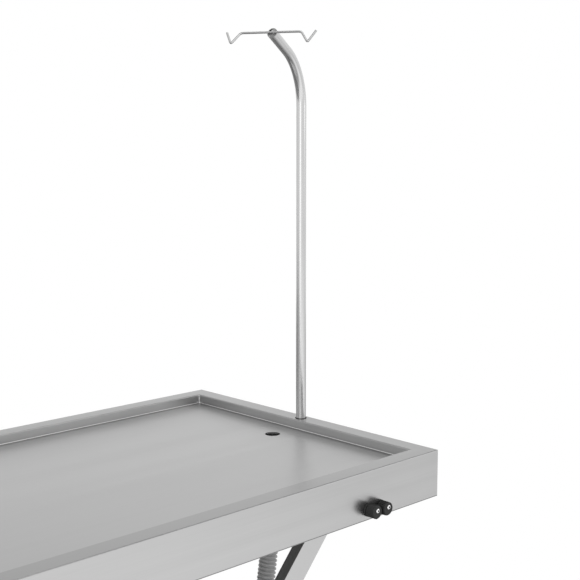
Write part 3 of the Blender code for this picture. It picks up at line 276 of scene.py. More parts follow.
class TableSettings(bpy.types.PropertyGroup):
    tray: bpy.props.PointerProperty(type=TraySettings)
    drain: bpy.props.PointerProperty(type=DrainSettings)
    pole: bpy.props.PointerProperty(type=PoleSettings)
    cleats: bpy.props.PointerProperty(type=CleatSettings)
    lift: bpy.props.PointerProperty(type=LiftSettings)
    finishes: bpy.props.PointerProperty(type=FinishSettings)
    studio: bpy.props.PointerProperty(type=StudioSettings)


# Mesh helpers

# The angle under which two faces are one flat
FLAT_ANGLE = math.radians(0.5)

# In degrees, the least angle that counts as the edge of a tube's or a plate's end
END_ANGLE = 50

# How near the axis a point is on it, and how near in radians to the widest point's heading it is in line
ON_AXIS = 0.0002
ON_LINE = 0.01


def linked(name, data):
    obj = bpy.data.objects.new(name, data)
    bpy.context.scene.collection.objects.link(obj)
    return obj


def from_bmesh(name, bm):
    mesh = bpy.data.meshes.new(name)
    bm.to_mesh(mesh)
    bm.free()
    return linked(name, mesh)


def edited(obj, change):
    """Puts an object's mesh through a change made on a bmesh."""
    bm = bmesh.new()
    bm.from_mesh(obj.data)
    change(bm)
    bm.to_mesh(obj.data)
    bm.free()
    return obj


def cleaned(bm):
    """Merges doubled points and turns the faces the same way."""
    bmesh.ops.remove_doubles(bm, verts=bm.verts, dist=MERGE)
    bmesh.ops.recalc_face_normals(bm, faces=bm.faces)


def lifted(bm, geom, height):
    """Moves the points of an extrusion up or down."""
    verts = [part for part in geom if isinstance(part, bmesh.types.BMVert)]
    bmesh.ops.translate(bm, vec=(0, 0, height), verts=verts)


def modifier(obj, kind, **values):
    made = obj.modifiers.new(kind.lower(), kind)
    for key, value in values.items():
        setattr(made, key, value)
    return made


def plain(obj, name=None):
    """The object's evaluated mesh as a new object at the origin, in place of the object."""
    bpy.context.view_layer.update()
    evaluated = obj.evaluated_get(bpy.context.evaluated_depsgraph_get())
    mesh = bpy.data.meshes.new_from_object(evaluated)
    mesh.transform(obj.matrix_world)
    name = name or obj.name
    bpy.data.objects.remove(obj, do_unlink=True)
    mesh.name = name
    return linked(name, mesh)


def dress(obj, body, slot, coat, *nodes, angle=35, weighted=True):
    """Shades a finished mesh, gives it its coat, and lets it ride on its body in place of its nodes."""
    obj.data.materials.clear()
    obj.data.materials.append(coat)
    obj.data.shade_smooth()
    obj.data.set_sharp_from_angle(angle=math.radians(angle))
    if weighted:
        modifier(obj, "WEIGHTED_NORMAL", keep_sharp=True)
        obj = plain(obj)
    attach(obj, body)
    if nodes:
        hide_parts(*nodes)
    return obj


def merged(node):
    """A copy of a CAD node with its loose triangles joined into faces."""
    bm = bmesh.new()
    bm.from_mesh(frame["nodes"][node].data)
    bmesh.ops.remove_doubles(bm, verts=bm.verts, dist=MERGE)
    return bm


def sharp_edges(bm, least_length=0.0, angle=30):
    found = []
    for edge in bm.edges:
        if len(edge.link_faces) == 2 and edge.calc_length() > least_length:
            if edge.calc_face_angle() > math.radians(angle):
                found.append(edge)
    return found


def round_edges(bm, edges, width, segments=2):
    bmesh.ops.bevel(
        bm, geom=edges, offset=width, segments=segments, profile=0.5, affect="EDGES", clamp_overlap=True
    )


def softened(node, width, least_length, segments=3):
    """A CAD node's shape with its longer edges rounded."""
    bm = merged(node)
    bmesh.ops.dissolve_limit(bm, angle_limit=FLAT_ANGLE, verts=bm.verts, edges=bm.edges)
    round_edges(bm, sharp_edges(bm, least_length), width, segments)
    return from_bmesh(node + "_finish", bm)


def axis_frame(point, direction):
    """Local Z along a direction through a point."""
    turn = Vector(direction).to_track_quat("Z", "Y").to_matrix().to_4x4()
    return Matrix.Translation(point) @ turn


def turned(name, profile, place, steps, edge=0.0, closed=False):
    """Turns (radius, height) points about local Z. A closed profile makes a ring."""
    bm = bmesh.new()
    verts = [bm.verts.new((radius, 0, height)) for radius, height in profile]
    edges = [bm.edges.new(pair) for pair in zip(verts, verts[1:])]
    if closed:
        edges.append(bm.edges.new((verts[-1], verts[0])))
    bmesh.ops.spin(
        bm, geom=verts + edges, cent=(0, 0, 0), axis=UP, dvec=(0, 0, 0), angle=2 * math.pi, steps=steps,
        use_merge=True, use_duplicate=False,
    )
    bmesh.ops.remove_doubles(bm, verts=bm.verts, dist=MERGE)
    bmesh.ops.dissolve_degenerate(bm, edges=bm.edges, dist=MERGE)
    bmesh.ops.recalc_face_normals(bm, faces=bm.faces)
    if edge:
        round_edges(bm, sharp_edges(bm), edge)
    bmesh.ops.transform(bm, matrix=place, verts=bm.verts)
    return from_bmesh(name, bm)


def profile_of(node, place):
    """The (radius, height) chain of a turned CAD node about local Z of a place, and whether it closes."""
    bm = merged(node)
    bmesh.ops.transform(bm, matrix=place.inverted(), verts=bm.verts)
    radii = {vert: math.hypot(vert.co.x, vert.co.y) for vert in bm.verts}
    widest = max(bm.verts, key=lambda vert: radii[vert])
    turn = math.atan2(widest.co.y, widest.co.x)
    line = set()
    for vert in bm.verts:
        off = math.atan2(vert.co.y, vert.co.x) - turn
        if radii[vert] < ON_AXIS or abs(math.remainder(off, 2 * math.pi)) < ON_LINE:
            line.add(vert)
    links = {vert: [] for vert in line}
    for edge in bm.edges:
        a, b = edge.verts
        if a in line and b in line and max(radii[a], radii[b]) > ON_AXIS:
            links[a].append(b)
            links[b].append(a)
    ends = [vert for vert in line if len(links[vert]) == 1]
    start = ends[0] if ends else widest
    chain = [start]
    here, before = start, None
    while True:
        onward = [vert for vert in links[here] if vert is not before and vert is not start]
        if not onward:
            break
        before, here = here, onward[0]
        chain.append(here)
    points = [(0.0 if radii[vert] < ON_AXIS else radii[vert], vert.co.z) for vert in chain]
    bm.free()
    if ends:
        if points[0][0] > 0:
            points.insert(0, (0.0, points[0][1]))
        if points[-1][0] > 0:
            points.append((0.0, points[-1][1]))
    return points, not ends


def respun(node, direction, steps, edge):
    """A turned CAD node, turned again in finer steps with its edges rounded."""
    low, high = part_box(node)
    place = axis_frame((low + high) / 2, direction)
    points, closed = profile_of(node, place)
    return turned(node + "_finish", points, place, steps, edge, closed)


def dress_turned(node, lift, direction, body, slot, coat):
    """Dresses a turned CAD node in a finer turned piece."""
    piece = respun(node, direction, lift.turn_steps, lift.turned_edge)
    return dress(piece, body, slot, finish(coat), node)


def poly_curve(name, points):
    """A curve of straight runs through points."""
    curve = bpy.data.curves.new(name, "CURVE")
    curve.dimensions = "3D"
    spline = curve.splines.new("POLY")
    spline.points.add(len(points) - 1)
    for place, point in zip(spline.points, points):
        place.co = (*point, 1)
    return linked(name, curve)


def tube_along(name, points, radius, resolution):
    """A round tube with closed ends along points."""
    route = poly_curve(name + "_curve", points)
    route.data.bevel_depth = radius
    route.data.bevel_resolution = resolution
    route.data.use_fill_caps = True
    return edited(plain(route, name), cleaned)


def round_ends(obj, width, segments):
    """Rounds a tube's two end edges."""
    return edited(obj, lambda bm: round_edges(bm, sharp_edges(bm, angle=END_ANGLE), width, segments))


def rounded_route(corners, bend, steps):
    """A route through corners, each one rounded."""
    points = [corners[0]]
    for before, corner, after in zip(corners, corners[1:], corners[2:]):
        into = corner + (before - corner).normalized() * bend
        out = corner + (after - corner).normalized() * bend
        for i in range(steps + 1):
            t = i / steps
            points.append((1 - t) ** 2 * into + 2 * t * (1 - t) * corner + t**2 * out)
    points.append(corners[-1])
    return points


def plate_of(name, outline, thickness, place, edge, segments=3):
    """A flat plate from an outline in local XY, with its edges rounded."""
    bm = bmesh.new()
    verts = [bm.verts.new((x, y, -thickness / 2)) for x, y in outline]
    face = bm.faces.new(verts)
    lifted(bm, bmesh.ops.extrude_face_region(bm, geom=[face])["geom"], thickness)
    bmesh.ops.recalc_face_normals(bm, faces=bm.faces)
    if edge:
        round_edges(bm, sharp_edges(bm, angle=END_ANGLE), edge, segments)
    bmesh.ops.transform(bm, matrix=place, verts=bm.verts)
    return from_bmesh(name, bm)


def boolean(obj, others, **values):
    """Cuts or unites closed shapes, and removes the ones that were used up."""
    for other in others:
        modifier(obj, "BOOLEAN", object=other, solver="EXACT", **values)
    made = plain(obj)
    for other in others:
        bpy.data.objects.remove(other, do_unlink=True)
    return made


def cut(obj, *cutters):
    return boolean(obj, cutters, operation="DIFFERENCE")


def joined(obj, *others):
    return boolean(obj, others, operation="UNION", use_self=True)


def cone_cutter(place, radius, length, steps):
    """A closed cylinder, or a prism of a few sides, about local Z of a place."""
    bm = bmesh.new()
    bmesh.ops.create_cone(bm, cap_ends=True, segments=steps, radius1=radius, radius2=radius, depth=length)
    bmesh.ops.transform(bm, matrix=place, verts=bm.verts)
    return from_bmesh("cutter", bm)


def round_cutter(point, direction, radius, length, steps):
    return cone_cutter(axis_frame(point, direction), radius, length, steps)


def box_cutter(size, place, centre):
    bm = bmesh.new()
    bmesh.ops.create_cube(bm, size=1)
    bmesh.ops.scale(bm, vec=size, verts=bm.verts)
    bmesh.ops.translate(bm, vec=centre, verts=bm.verts)
    bmesh.ops.transform(bm, matrix=place, verts=bm.verts)
    return from_bmesh("cutter", bm)


# Node trees

FLOAT = "NodeSocketFloat"
WHOLE = "NodeSocketInt"
VECTOR = "NodeSocketVector"
GEOMETRY = "NodeSocketGeometry"
BEAD_VARIATION = 0.12


def node_tree(name, kind, inputs, outputs):
    """A node tree with inputs, as (name, socket type, default), and outputs, as (name, socket type)."""
    tree = bpy.data.node_groups.new(name, kind)
    for label, socket_type, default in inputs:
        socket = tree.interface.new_socket(label, in_out="INPUT", socket_type=socket_type)
        if default is not None:
            socket.default_value = default
    for label, socket_type in outputs:
        tree.interface.new_socket(label, in_out="OUTPUT", socket_type=socket_type)
    start = tree.nodes.new("NodeGroupInput")
    end = tree.nodes.new("NodeGroupOutput")
    return tree, start.outputs, end.inputs


def geometry_tree(name, *inputs):
    """A geometry node tree, whose last input is the material."""
    given = (("Geometry", GEOMETRY, None), *inputs, ("Material", "NodeSocketMaterial", None))
    return node_tree(name, "GeometryNodeTree", given, (("Geometry", GEOMETRY),))


def add(tree, kind, inputs=(), **values):
    """A node with its properties set and its inputs linked or given."""
    made = tree.nodes.new(kind)
    for key, value in values.items():
        setattr(made, key, value)
    for key, value in dict(inputs).items():
        if isinstance(value, bpy.types.NodeSocket):
            tree.links.new(value, made.inputs[key])
        else:
            made.inputs[key].default_value = value
    return made


def calc(tree, operation, *values):
    """One step of arithmetic on values or sockets."""
    return add(tree, "ShaderNodeMath", dict(enumerate(values)), operation=operation).outputs[0]


def close_tree(tree, geometry, given, out):
    """Ends a tree in Realize Instances and Set Material."""
    real = add(tree, "GeometryNodeRealizeInstances", {"Geometry": geometry})
    inputs = {"Geometry": real.outputs["Geometry"], "Material": given["Material"]}
    painted = add(tree, "GeometryNodeSetMaterial", inputs)
    tree.links.new(painted.outputs["Geometry"], out["Geometry"])
    return tree


def copies_on(tree, points, **inputs):
    """An instance at each point."""
    return add(tree, "GeometryNodeInstanceOnPoints", {"Points": points, **inputs}).outputs["Instances"]


def evenly(tree, curve, spacing):
    """A curve with its points a given length apart."""
    made = add(tree, "GeometryNodeResampleCurve", {"Curve": curve, "Length": spacing}, mode="LENGTH")
    return made.outputs["Curve"]


def kept_value(tree, geometry, label, value):
    """Keeps a value of a curve's points for the mesh that is made of the curve."""
    keep = add(tree, "GeometryNodeCaptureAttribute")
    keep.capture_items.new("FLOAT", label)
    tree.links.new(geometry, keep.inputs["Geometry"])
    tree.links.new(value, keep.inputs[label])
    return keep.outputs["Geometry"], keep.outputs[label]


def grown(name, tree, source, **values):
    """Runs a tree on an object and returns the plain mesh that it makes."""
    step = source.modifiers.new("made", "NODES")
    step.node_group = tree
    for item in tree.interface.items_tree:
        key = item.name.lower().replace(" ", "_")
        if item.in_out == "INPUT" and key in values:
            step[item.identifier] = values[key]
    return plain(source, name)


def rib_tree():
    """A ribbed hose round a curve. Its rib winds along it as one helix."""
    tree, given, out = geometry_tree(
        "hose_ribs",
        ("Radius", FLOAT, 0.0175),
        ("Pitch", FLOAT, 0.0078),
        ("Depth", FLOAT, 0.003),
        ("Ring Spacing", FLOAT, 0.001),
        ("Sharpness", FLOAT, 2.2),
        ("Sides", WHOLE, 40),
    )
    along = add(tree, "GeometryNodeSplineParameter")
    even = evenly(tree, given["Geometry"], given["Ring Spacing"])
    line, run = kept_value(tree, even, "Run", along.outputs["Length"])
    circle_of = {"Resolution": given["Sides"], "Radius": given["Radius"]}
    ring = add(tree, "GeometryNodeCurvePrimitiveCircle", circle_of)
    section, turn = kept_value(tree, ring.outputs["Curve"], "Turn", along.outputs["Factor"])
    mesh = add(tree, "GeometryNodeCurveToMesh", {"Curve": line, "Profile Curve": section})
    turns = calc(tree, "ADD", calc(tree, "DIVIDE", run, given["Pitch"]), turn)
    wave = calc(tree, "COSINE", calc(tree, "MULTIPLY", turns, 2 * math.pi))
    valley = calc(tree, "POWER", calc(tree, "MULTIPLY_ADD", wave, -0.5, 0.5), given["Sharpness"])
    sink = calc(tree, "MULTIPLY", valley, calc(tree, "MULTIPLY", given["Depth"], -1.0))
    normal = add(tree, "GeometryNodeInputNormal").outputs[0]
    shift = add(tree, "ShaderNodeVectorMath", {0: normal, "Scale": sink}, operation="SCALE").outputs[0]
    shaped = add(tree, "GeometryNodeSetPosition", {"Geometry": mesh.outputs["Mesh"], "Offset": shift})
    return close_tree(tree, shaped.outputs["Geometry"], given, out)


def bead_tree():
    """A weld: beads that overlap along a curve, each a little unlike the next in size."""
    tree, given, out = geometry_tree(
        "weld_beads",
        ("Bead Radius", FLOAT, 0.0011),
        ("Spacing", FLOAT, 0.0012),
        ("Seed", WHOLE, 4),
    )
    even = evenly(tree, given["Geometry"], given["Spacing"])
    bead = add(tree, "GeometryNodeMeshIcoSphere", {"Radius": given["Bead Radius"], "Subdivisions": 2})
    size = add(
        tree, "FunctionNodeRandomValue",
        {"Seed": given["Seed"], 2: 1 - BEAD_VARIATION, 3: 1 + BEAD_VARIATION}, data_type="FLOAT",
    )
    beads = copies_on(tree, even, Instance=bead.outputs["Mesh"], Scale=size.outputs[1])
    return close_tree(tree, beads, given, out)


def row_tree(name):
    """Copies of the given shape in a straight row."""
    tree, given, out = geometry_tree(name, ("Count", WHOLE, 7), ("Step", VECTOR, None))
    spots = {"Count": given["Count"], "Offset": given["Step"]}
    points = add(tree, "GeometryNodeMeshLine", spots, mode="OFFSET")
    return close_tree(tree, copies_on(tree, points.outputs["Mesh"], Instance=given["Geometry"]), given, out)


def arc_tree():
    """Copies of the given shape on an arc about the local Z axis, each turned to face out."""
    tree, given, out = geometry_tree(
        "cam_teeth",
        ("Count", WHOLE, 13),
        ("Radius", FLOAT, 0.0118),
        ("Start Angle", FLOAT, -1.5),
        ("Sweep", FLOAT, 3.0),
    )
    points = add(tree, "GeometryNodeMeshLine", {"Count": given["Count"]}, mode="OFFSET")
    number = add(tree, "GeometryNodeInputIndex").outputs[0]
    share = calc(tree, "DIVIDE", number, calc(tree, "SUBTRACT", given["Count"], 1.0))
    angle = calc(tree, "MULTIPLY_ADD", share, given["Sweep"], given["Start Angle"])
    x = calc(tree, "MULTIPLY", calc(tree, "COSINE", angle), given["Radius"])
    y = calc(tree, "MULTIPLY", calc(tree, "SINE", angle), given["Radius"])
    spot = add(tree, "ShaderNodeCombineXYZ", {0: x, 1: y}).outputs[0]
    laid = add(tree, "GeometryNodeSetPosition", {"Geometry": points.outputs["Mesh"], "Position": spot})
    turn = add(tree, "ShaderNodeCombineXYZ", {2: angle}).outputs[0]
    teeth = copies_on(tree, laid.outputs["Geometry"], Instance=given["Geometry"], Rotation=turn)
    return close_tree(tree, teeth, given, out)


# Shader node groups and finishes

BROAD_SCALE = 0.12
BROAD_SHARE = 0.6


def grain_group():
    """Long fine scratches. The Vector is already stretched along the grain."""
    tree, given, out = node_tree(
        "brushed_grain", "ShaderNodeTree", (("Vector", VECTOR, None), ("Contrast", FLOAT, 1.0)),
        (("Streaks", FLOAT), ("Height", FLOAT)),
    )
    fine = noise(tree, given["Vector"], 1.0, 3.0, 0.65)
    stretched = add(
        tree, "ShaderNodeVectorMath", {0: given["Vector"], 1: (BROAD_SCALE,) * 3}, operation="MULTIPLY"
    )
    broad = noise(tree, stretched.outputs[0], 1.0, 2.0, 0.5)
    both = add(tree, "ShaderNodeMix", {0: BROAD_SHARE, 2: fine, 3: broad}, data_type="FLOAT").outputs[0]
    centred = calc(tree, "SUBTRACT", both, 0.5)
    spread = add(
        tree, "ShaderNodeMath", {0: centred, 1: given["Contrast"], 2: 0.5}, operation="MULTIPLY_ADD",
        use_clamp=True,
    )
    tree.links.new(spread.outputs[0], out["Streaks"])
    tree.links.new(fine, out["Height"])


def smear_group():
    """Soft cloudy patches, as on a wiped surface."""
    tree, given, out = node_tree(
        "soft_smears", "ShaderNodeTree", (("Vector", VECTOR, None), ("Scale", FLOAT, 5.0)),
        (("Patches", FLOAT),),
    )
    cloud = noise(tree, given["Vector"], given["Scale"], 3.0, 0.55, 0.6)
    tree.links.new(span(tree, cloud, 0.3, 0.7, 0.0, 1.0), out["Patches"])


def noise(tree, place, scale, detail, roughness, distortion=0.0):
    values = {"Scale": scale, "Detail": detail, "Roughness": roughness, "Distortion": distortion}
    return add(tree, "ShaderNodeTexNoise", {"Vector": place, **values}).outputs["Fac"]


def group_in(tree, group, inputs):
    return add(tree, "ShaderNodeGroup", inputs, node_tree=bpy.data.node_groups[group]).outputs


def span(tree, value, low, high, at_low, at_high, masks=()):
    """A value mapped from one range to another and held at its ends, times any masks."""
    result = add(
        tree, "ShaderNodeMapRange",
        {"Value": value, "From Min": low, "From Max": high, "To Min": at_low, "To Max": at_high},
    ).outputs["Result"]
    for mask in masks:
        result = calc(tree, "MULTIPLY", result, mask)
    return result


def mixed(tree, mask, one, other, blend="MIX"):
    """Two colours mixed by a mask."""
    inputs = {0: mask, 6: one, 7: other}
    return add(tree, "ShaderNodeMix", inputs, data_type="RGBA", blend_type=blend).outputs[2]


def shade(colour, share):
    """A colour made darker or lighter, as a socket's value."""
    return (*[min(c * share, 1) for c in colour], 1)


def blank_finish(name, colour, roughness, metallic):
    """A new material's nodes, its shader and its Object coordinates."""
    made = bpy.data.materials.new(name)
    made.use_nodes = True
    tree = made.node_tree
    shader = tree.nodes["Principled BSDF"]
    shader.inputs["Base Color"].default_value = (*colour, 1)
    shader.inputs["Roughness"].default_value = roughness
    shader.inputs["Metallic"].default_value = metallic
    place = tree.nodes.new("ShaderNodeTexCoord").outputs["Object"]
    return tree, shader, place


def varied(tree, shader, mask, middle, swing):
    """Roughness that a mask from 0 to 1 moves about its middle."""
    tree.links.new(span(tree, mask, 0.0, 1.0, middle - swing, middle + swing), shader.inputs["Roughness"])


def raised(tree, shader, height, strength, distance):
    """Relief too fine to be geometry."""
    bump = add(tree, "ShaderNodeBump", {"Height": height, "Strength": strength, "Distance": distance})
    tree.links.new(bump.outputs["Normal"], shader.inputs["Normal"])


def mapped(tree, place, **values):
    """Coordinates scaled, shifted or turned, with values for Scale, Location or Rotation."""
    return add(tree, "ShaderNodeMapping", {"Vector": place, **values}).outputs[0]


# Keeps a noise's octaves from lining up along flat faces
OFF_LATTICE = (0.3, 0.3, 0.3)

# How smears and grain move a steel's tone and roughness
SMEAR_STRETCH = (0.35, 1, 1)
SMEAR_SCALE = 6.0
SMEAR_SHARE = 0.4
STEEL_SWING = 0.07
STEEL_DARK = 0.90
STEEL_LIGHT = 1.08
STEEL_RELIEF = 0.0003

# The same for paint, plastic, nylon and rubber
PATCH_SCALE = 22.0
SKIN_SWING = 0.05
SKIN_RELIEF = 0.0004


def brushed(name, colour, roughness, stretch, turn=0.0, contrast=1.0, bump=0.06):
    """Brushed steel. The stretch has a low number along the grain, and the turn is about Y."""
    tree, shader, place = blank_finish(name, colour, roughness, 1.0)
    straight = mapped(tree, place, Rotation=(0, turn, 0))
    drawn = mapped(tree, straight, Scale=stretch, Location=OFF_LATTICE)
    steel_nodes(tree, shader, place, drawn, colour, roughness, contrast, bump)


def steel_nodes(tree, shader, place, grain_place, colour, roughness, contrast, bump):
    """Grain and smears on a steel, which move its tone and its roughness. Gives back the tone."""
    grain = group_in(tree, "brushed_grain", {"Vector": grain_place, "Contrast": contrast})
    long_place = mapped(tree, place, Scale=SMEAR_STRETCH)
    smears = group_in(tree, "soft_smears", {"Vector": long_place, "Scale": SMEAR_SCALE})
    shares = {0: SMEAR_SHARE, 2: grain["Streaks"], 3: smears["Patches"]}
    mask = add(tree, "ShaderNodeMix", shares, data_type="FLOAT").outputs[0]
    varied(tree, shader, mask, roughness, STEEL_SWING)
    tone = mixed(tree, mask, shade(colour, STEEL_DARK), shade(colour, STEEL_LIGHT))
    tree.links.new(tone, shader.inputs["Base Color"])
    if bump:
        raised(tree, shader, grain["Height"], bump, STEEL_RELIEF)
    return tone


# The tray's sheet: its grain, and the shares and tones of painted shade and a painted highlight on its parts
SHEET_ROUGHNESS = 0.33
SHEET_CONTRAST = 2.4
SHEET_ALONG = (2, 380, 380)
SHEET_ACROSS = (380, 2, 380)
# Painted shade: the flat rim's top is darkened to this share
RIM_SHADE = 0.82
# Painted shade: the walls darken towards the floor, down to this share
WALL_SHADE = 0.86
# Painted shade: a band of the floor along the foot of the walls, standing in for their dark reflection,
# darkened to this share over this width
SEAM_SHADE = 0.40
SEAM_WIDTH = 0.012
# Painted shade: a dark line along the skirt's bottom edge
SKIRT_EDGE_PAINTED_SHADE = (0.22, 0.22, 0.22, 1)
# Painted highlight: a light line along the bend from the walls to the floor
BEND_PAINTED_HIGHLIGHT = (0.66, 0.66, 0.66, 1)
# Painted shade inside the screws' hex sockets
SOCKET_PAINTED_SHADE = (0.02, 0.02, 0.02, 1)
HAIR = 0.0002


def sheet_steel(settings, finishes):
    """The tray's brushed sheet, with painted shade and a painted highlight. Its grain runs along the table,
    but across it on the end rims and skirts.
    """
    tree, shader, place = blank_finish("tray_steel", finishes.steel, SHEET_ROUGHNESS, 1.0)
    apart = add(tree, "ShaderNodeSeparateXYZ", {0: place}).outputs
    z = apart["Z"]
    from_end = calc(tree, "SUBTRACT", TRAY_HIGH.x, calc(tree, "ABSOLUTE", apart["X"]))
    from_side = calc(tree, "SUBTRACT", TRAY_HIGH.y, calc(tree, "ABSOLUTE", apart["Y"]))
    nearest = calc(tree, "MINIMUM", from_end, from_side)
    nearer_end = calc(tree, "LESS_THAN", from_end, from_side)
    on_rim = calc(tree, "LESS_THAN", from_end, settings.rim_width + settings.sheet)
    along = mapped(tree, place, Scale=SHEET_ALONG, Location=OFF_LATTICE)
    across = mapped(tree, place, Scale=SHEET_ACROSS, Location=OFF_LATTICE)
    turned_grain = calc(tree, "MULTIPLY", nearer_end, on_rim)
    ways = {0: turned_grain, 4: along, 5: across}
    grain = add(tree, "ShaderNodeMix", ways, data_type="VECTOR").outputs[1]
    tone = steel_nodes(tree, shader, place, grain, finishes.steel, SHEET_ROUGHNESS, SHEET_CONTRAST, 0.0)
    floor_z = TOP_Z - settings.depth
    inside = calc(tree, "GREATER_THAN", nearest, settings.rim_width - HAIR)
    off_floor = calc(tree, "GREATER_THAN", z, floor_z + HAIR)
    on_floor = calc(tree, "LESS_THAN", z, floor_z + HAIR)
    in_bend = calc(tree, "LESS_THAN", z, floor_z + settings.bend_radius)
    seam_from = settings.rim_width + settings.bend_radius
    # Painted shade multiplied into the tone: the rim's top, the walls towards the floor, and a band of the
    # floor along the walls
    shades = (
        (calc(tree, "GREATER_THAN", z, TOP_Z - settings.sheet / 2), RIM_SHADE),
        (span(tree, z, floor_z, TOP_Z, 1.0, 0.0, (inside, off_floor)), WALL_SHADE),
        (span(tree, nearest, seam_from, seam_from + SEAM_WIDTH, 1.0, 0.0, (inside, on_floor)), SEAM_SHADE),
    )
    for mask, share in shades:
        tone = mixed(tree, mask, tone, (share, share, share, 1), "MULTIPLY")
    # Painted shade along the skirt's bottom edge
    tone = mixed(tree, calc(tree, "LESS_THAN", z, SKIRT_Z + settings.sheet), tone, SKIRT_EDGE_PAINTED_SHADE)
    # Painted highlight along the bend from the walls to the floor
    bend_highlight = calc(tree, "MULTIPLY", calc(tree, "MULTIPLY", in_bend, off_floor), inside)
    tone = mixed(tree, bend_highlight, tone, BEND_PAINTED_HIGHLIGHT)
    tree.links.new(tone, shader.inputs["Base Color"])


def darken_sockets(name):
    """Painted shade, dark, where the mesh's own socket attribute is 1."""
    tree = finish(name).node_tree
    base = tree.nodes["Principled BSDF"].inputs["Base Color"]
    mask = add(tree, "ShaderNodeAttribute", attribute_name="socket").outputs["Fac"]
    tree.links.new(mixed(tree, mask, base.links[0].from_socket, SOCKET_PAINTED_SHADE), base)


def rough_finish(name, colour, roughness, scale, bump, tone=0.12, coat=0.0, gloss=0.5):
    """Paint, plastic, nylon or rubber with a fine uneven skin and cloudy tone."""
    tree, shader, place = blank_finish(name, colour, roughness, 0.0)
    skin = noise(tree, place, scale, 2.0, 0.5)
    patches = group_in(tree, "soft_smears", {"Vector": place, "Scale": PATCH_SCALE})["Patches"]
    varied(tree, shader, patches, roughness, SKIN_SWING)
    cloudy = mixed(tree, patches, shade(colour, 1 - tone), shade(colour, 1 + tone))
    tree.links.new(cloudy, shader.inputs["Base Color"])
    raised(tree, shader, skin, bump, SKIN_RELIEF)
    shader.inputs["Coat Weight"].default_value = coat
    shader.inputs["Specular IOR Level"].default_value = gloss


ARM_TURN = math.radians(49)
SCREW_COLOUR = (0.85, 0.85, 0.85)
WELD_COLOUR = (0.80, 0.80, 0.80)
CHROME_COLOUR = (0.72, 0.72, 0.72)


def make_finishes(settings):
    """Every finish that the pieces share."""
    grain_group()
    smear_group()
    tones = settings.finishes
    sheet_steel(settings.tray, tones)
    brushed("rail_steel", tones.steel, 0.32, (4, 400, 400), contrast=1.3, bump=0.02)
    brushed("cross_steel", tones.steel, 0.32, (400, 4, 400), contrast=1.3, bump=0.02)
    brushed("inner_arm_steel", tones.steel, 0.32, (4, 400, 400), turn=ARM_TURN, contrast=1.3, bump=0.02)
    brushed("outer_arm_steel", tones.steel, 0.32, (4, 400, 400), turn=-ARM_TURN, contrast=1.3, bump=0.02)
    brushed("pole_steel", tones.pole, 0.21, (300, 300, 3), contrast=0.8, bump=0.0)
    brushed("wire_steel", tones.steel, 0.28, (90, 90, 90), bump=0.01)
    brushed("screw_steel", SCREW_COLOUR, 0.16, (400, 400, 400), bump=0.01)
    darken_sockets("screw_steel")
    brushed("turned_steel", tones.steel, 0.26, (30, 500, 30), contrast=1.0, bump=0.02)
    brushed("weld_steel", WELD_COLOUR, 0.18, (300, 300, 300), bump=0.02)
    brushed("zinc_plate", tones.zinc, 0.30, (40, 400, 40), contrast=0.9, bump=0.02)
    brushed("chromed_rod", CHROME_COLOUR, 0.09, (60, 60, 900), bump=0.02)
    brushed("barrel_steel", tones.steel, 0.25, (40, 40, 500), contrast=1.0, bump=0.02)
    rough_finish("pedal_paint", tones.dark_steel, 0.42, 700.0, 0.2, coat=0.3)
    rough_finish("pump_paint", tones.pump_paint, 0.40, 450.0, 0.3, coat=0.3)
    rough_finish("black_plastic", tones.black, 0.28, 1400.0, 0.1, 0.2, gloss=0.45)
    rough_finish("white_nylon", tones.nylon, 0.48, 800.0, 0.08, 0.04)
    rough_finish("hose_plastic", tones.hose, 0.46, 600.0, 0.12, 0.1)
    rough_finish("cuff_rubber", tones.rubber, 0.65, 1100.0, 0.25, 0.2)


def finish(name):
    return bpy.data.materials[name]


# Camera, light and floor

CAMERA_AT = Vector((-0.84249, -1.50078, 0.54088))
CAMERA_YAW = math.radians(43.926)
CAMERA_PITCH = math.radians(7.8435)
CAMERA_LENS = 68.84
CAMERA_SENSOR = 36
CAMERA_NEAR = 0.01

# Tones round the horizon, from +X through +Y, as (share of a full turn, half of the brightness)
HORIZON = (
    (0.0, 0.50),
    (0.12, 0.57),
    (0.20, 0.52),
    (0.30, 0.40),
    (0.40, 0.53),
    (0.50, 0.46),
    (0.56, 1.00),
    (0.62, 0.60),
    (0.70, 0.50),
    (0.80, 0.50),
    (0.90, 0.50),
    (1.0, 0.50),
)

# Tones from the horizon up to straight overhead, as (height, half of the brightness)
OVERHEAD = ((0.0, 0.44), (0.42, 0.40), (0.62, 0.16), (0.78, 0.16), (0.90, 0.75), (1.0, 0.85))

# The heights between which the horizon gives way to the tones overhead
HORIZON_FADE = (0.22, 0.5)

# How the floor's painted glow in reflections changes, as (from, to, share at the first, share at the
# second); near the middle it is dimmed as the table's painted shadow
GLOW_TO_FRONT = (0.6, -1.0, 0.25, 1.0)
GLOW_OFF_MIDDLE = (0.9, 1.9, 0.35, 1.0)
GLOW_TO_POLE_END = (1.2, 3.2, 1.0, 0.68)

# How much of the white that the camera sees stays on the floor under the table
SHADOW_FADE = 0.75
FLOOR_ROUGHNESS = 0.8

# Soft lights, as (name, place, aim, side)
SOFT_LIGHTS = (("key", (-2.2, -1.6, 3.2), (0, 0, 0.9), 1.8), ("fill", (2.4, -2.2, 2.2), (0.2, 0, 0.9), 1.6))


def make_camera():
    data = bpy.data.cameras.new("camera")
    data.lens = CAMERA_LENS
    data.sensor_width = CAMERA_SENSOR
    data.clip_start = CAMERA_NEAR
    camera = linked("camera", data)
    camera.location = CAMERA_AT + Vector((0, 0, TOP_Z))
    camera.rotation_euler = (math.pi / 2 - CAMERA_PITCH, 0, -CAMERA_YAW)
    bpy.context.scene.camera = camera


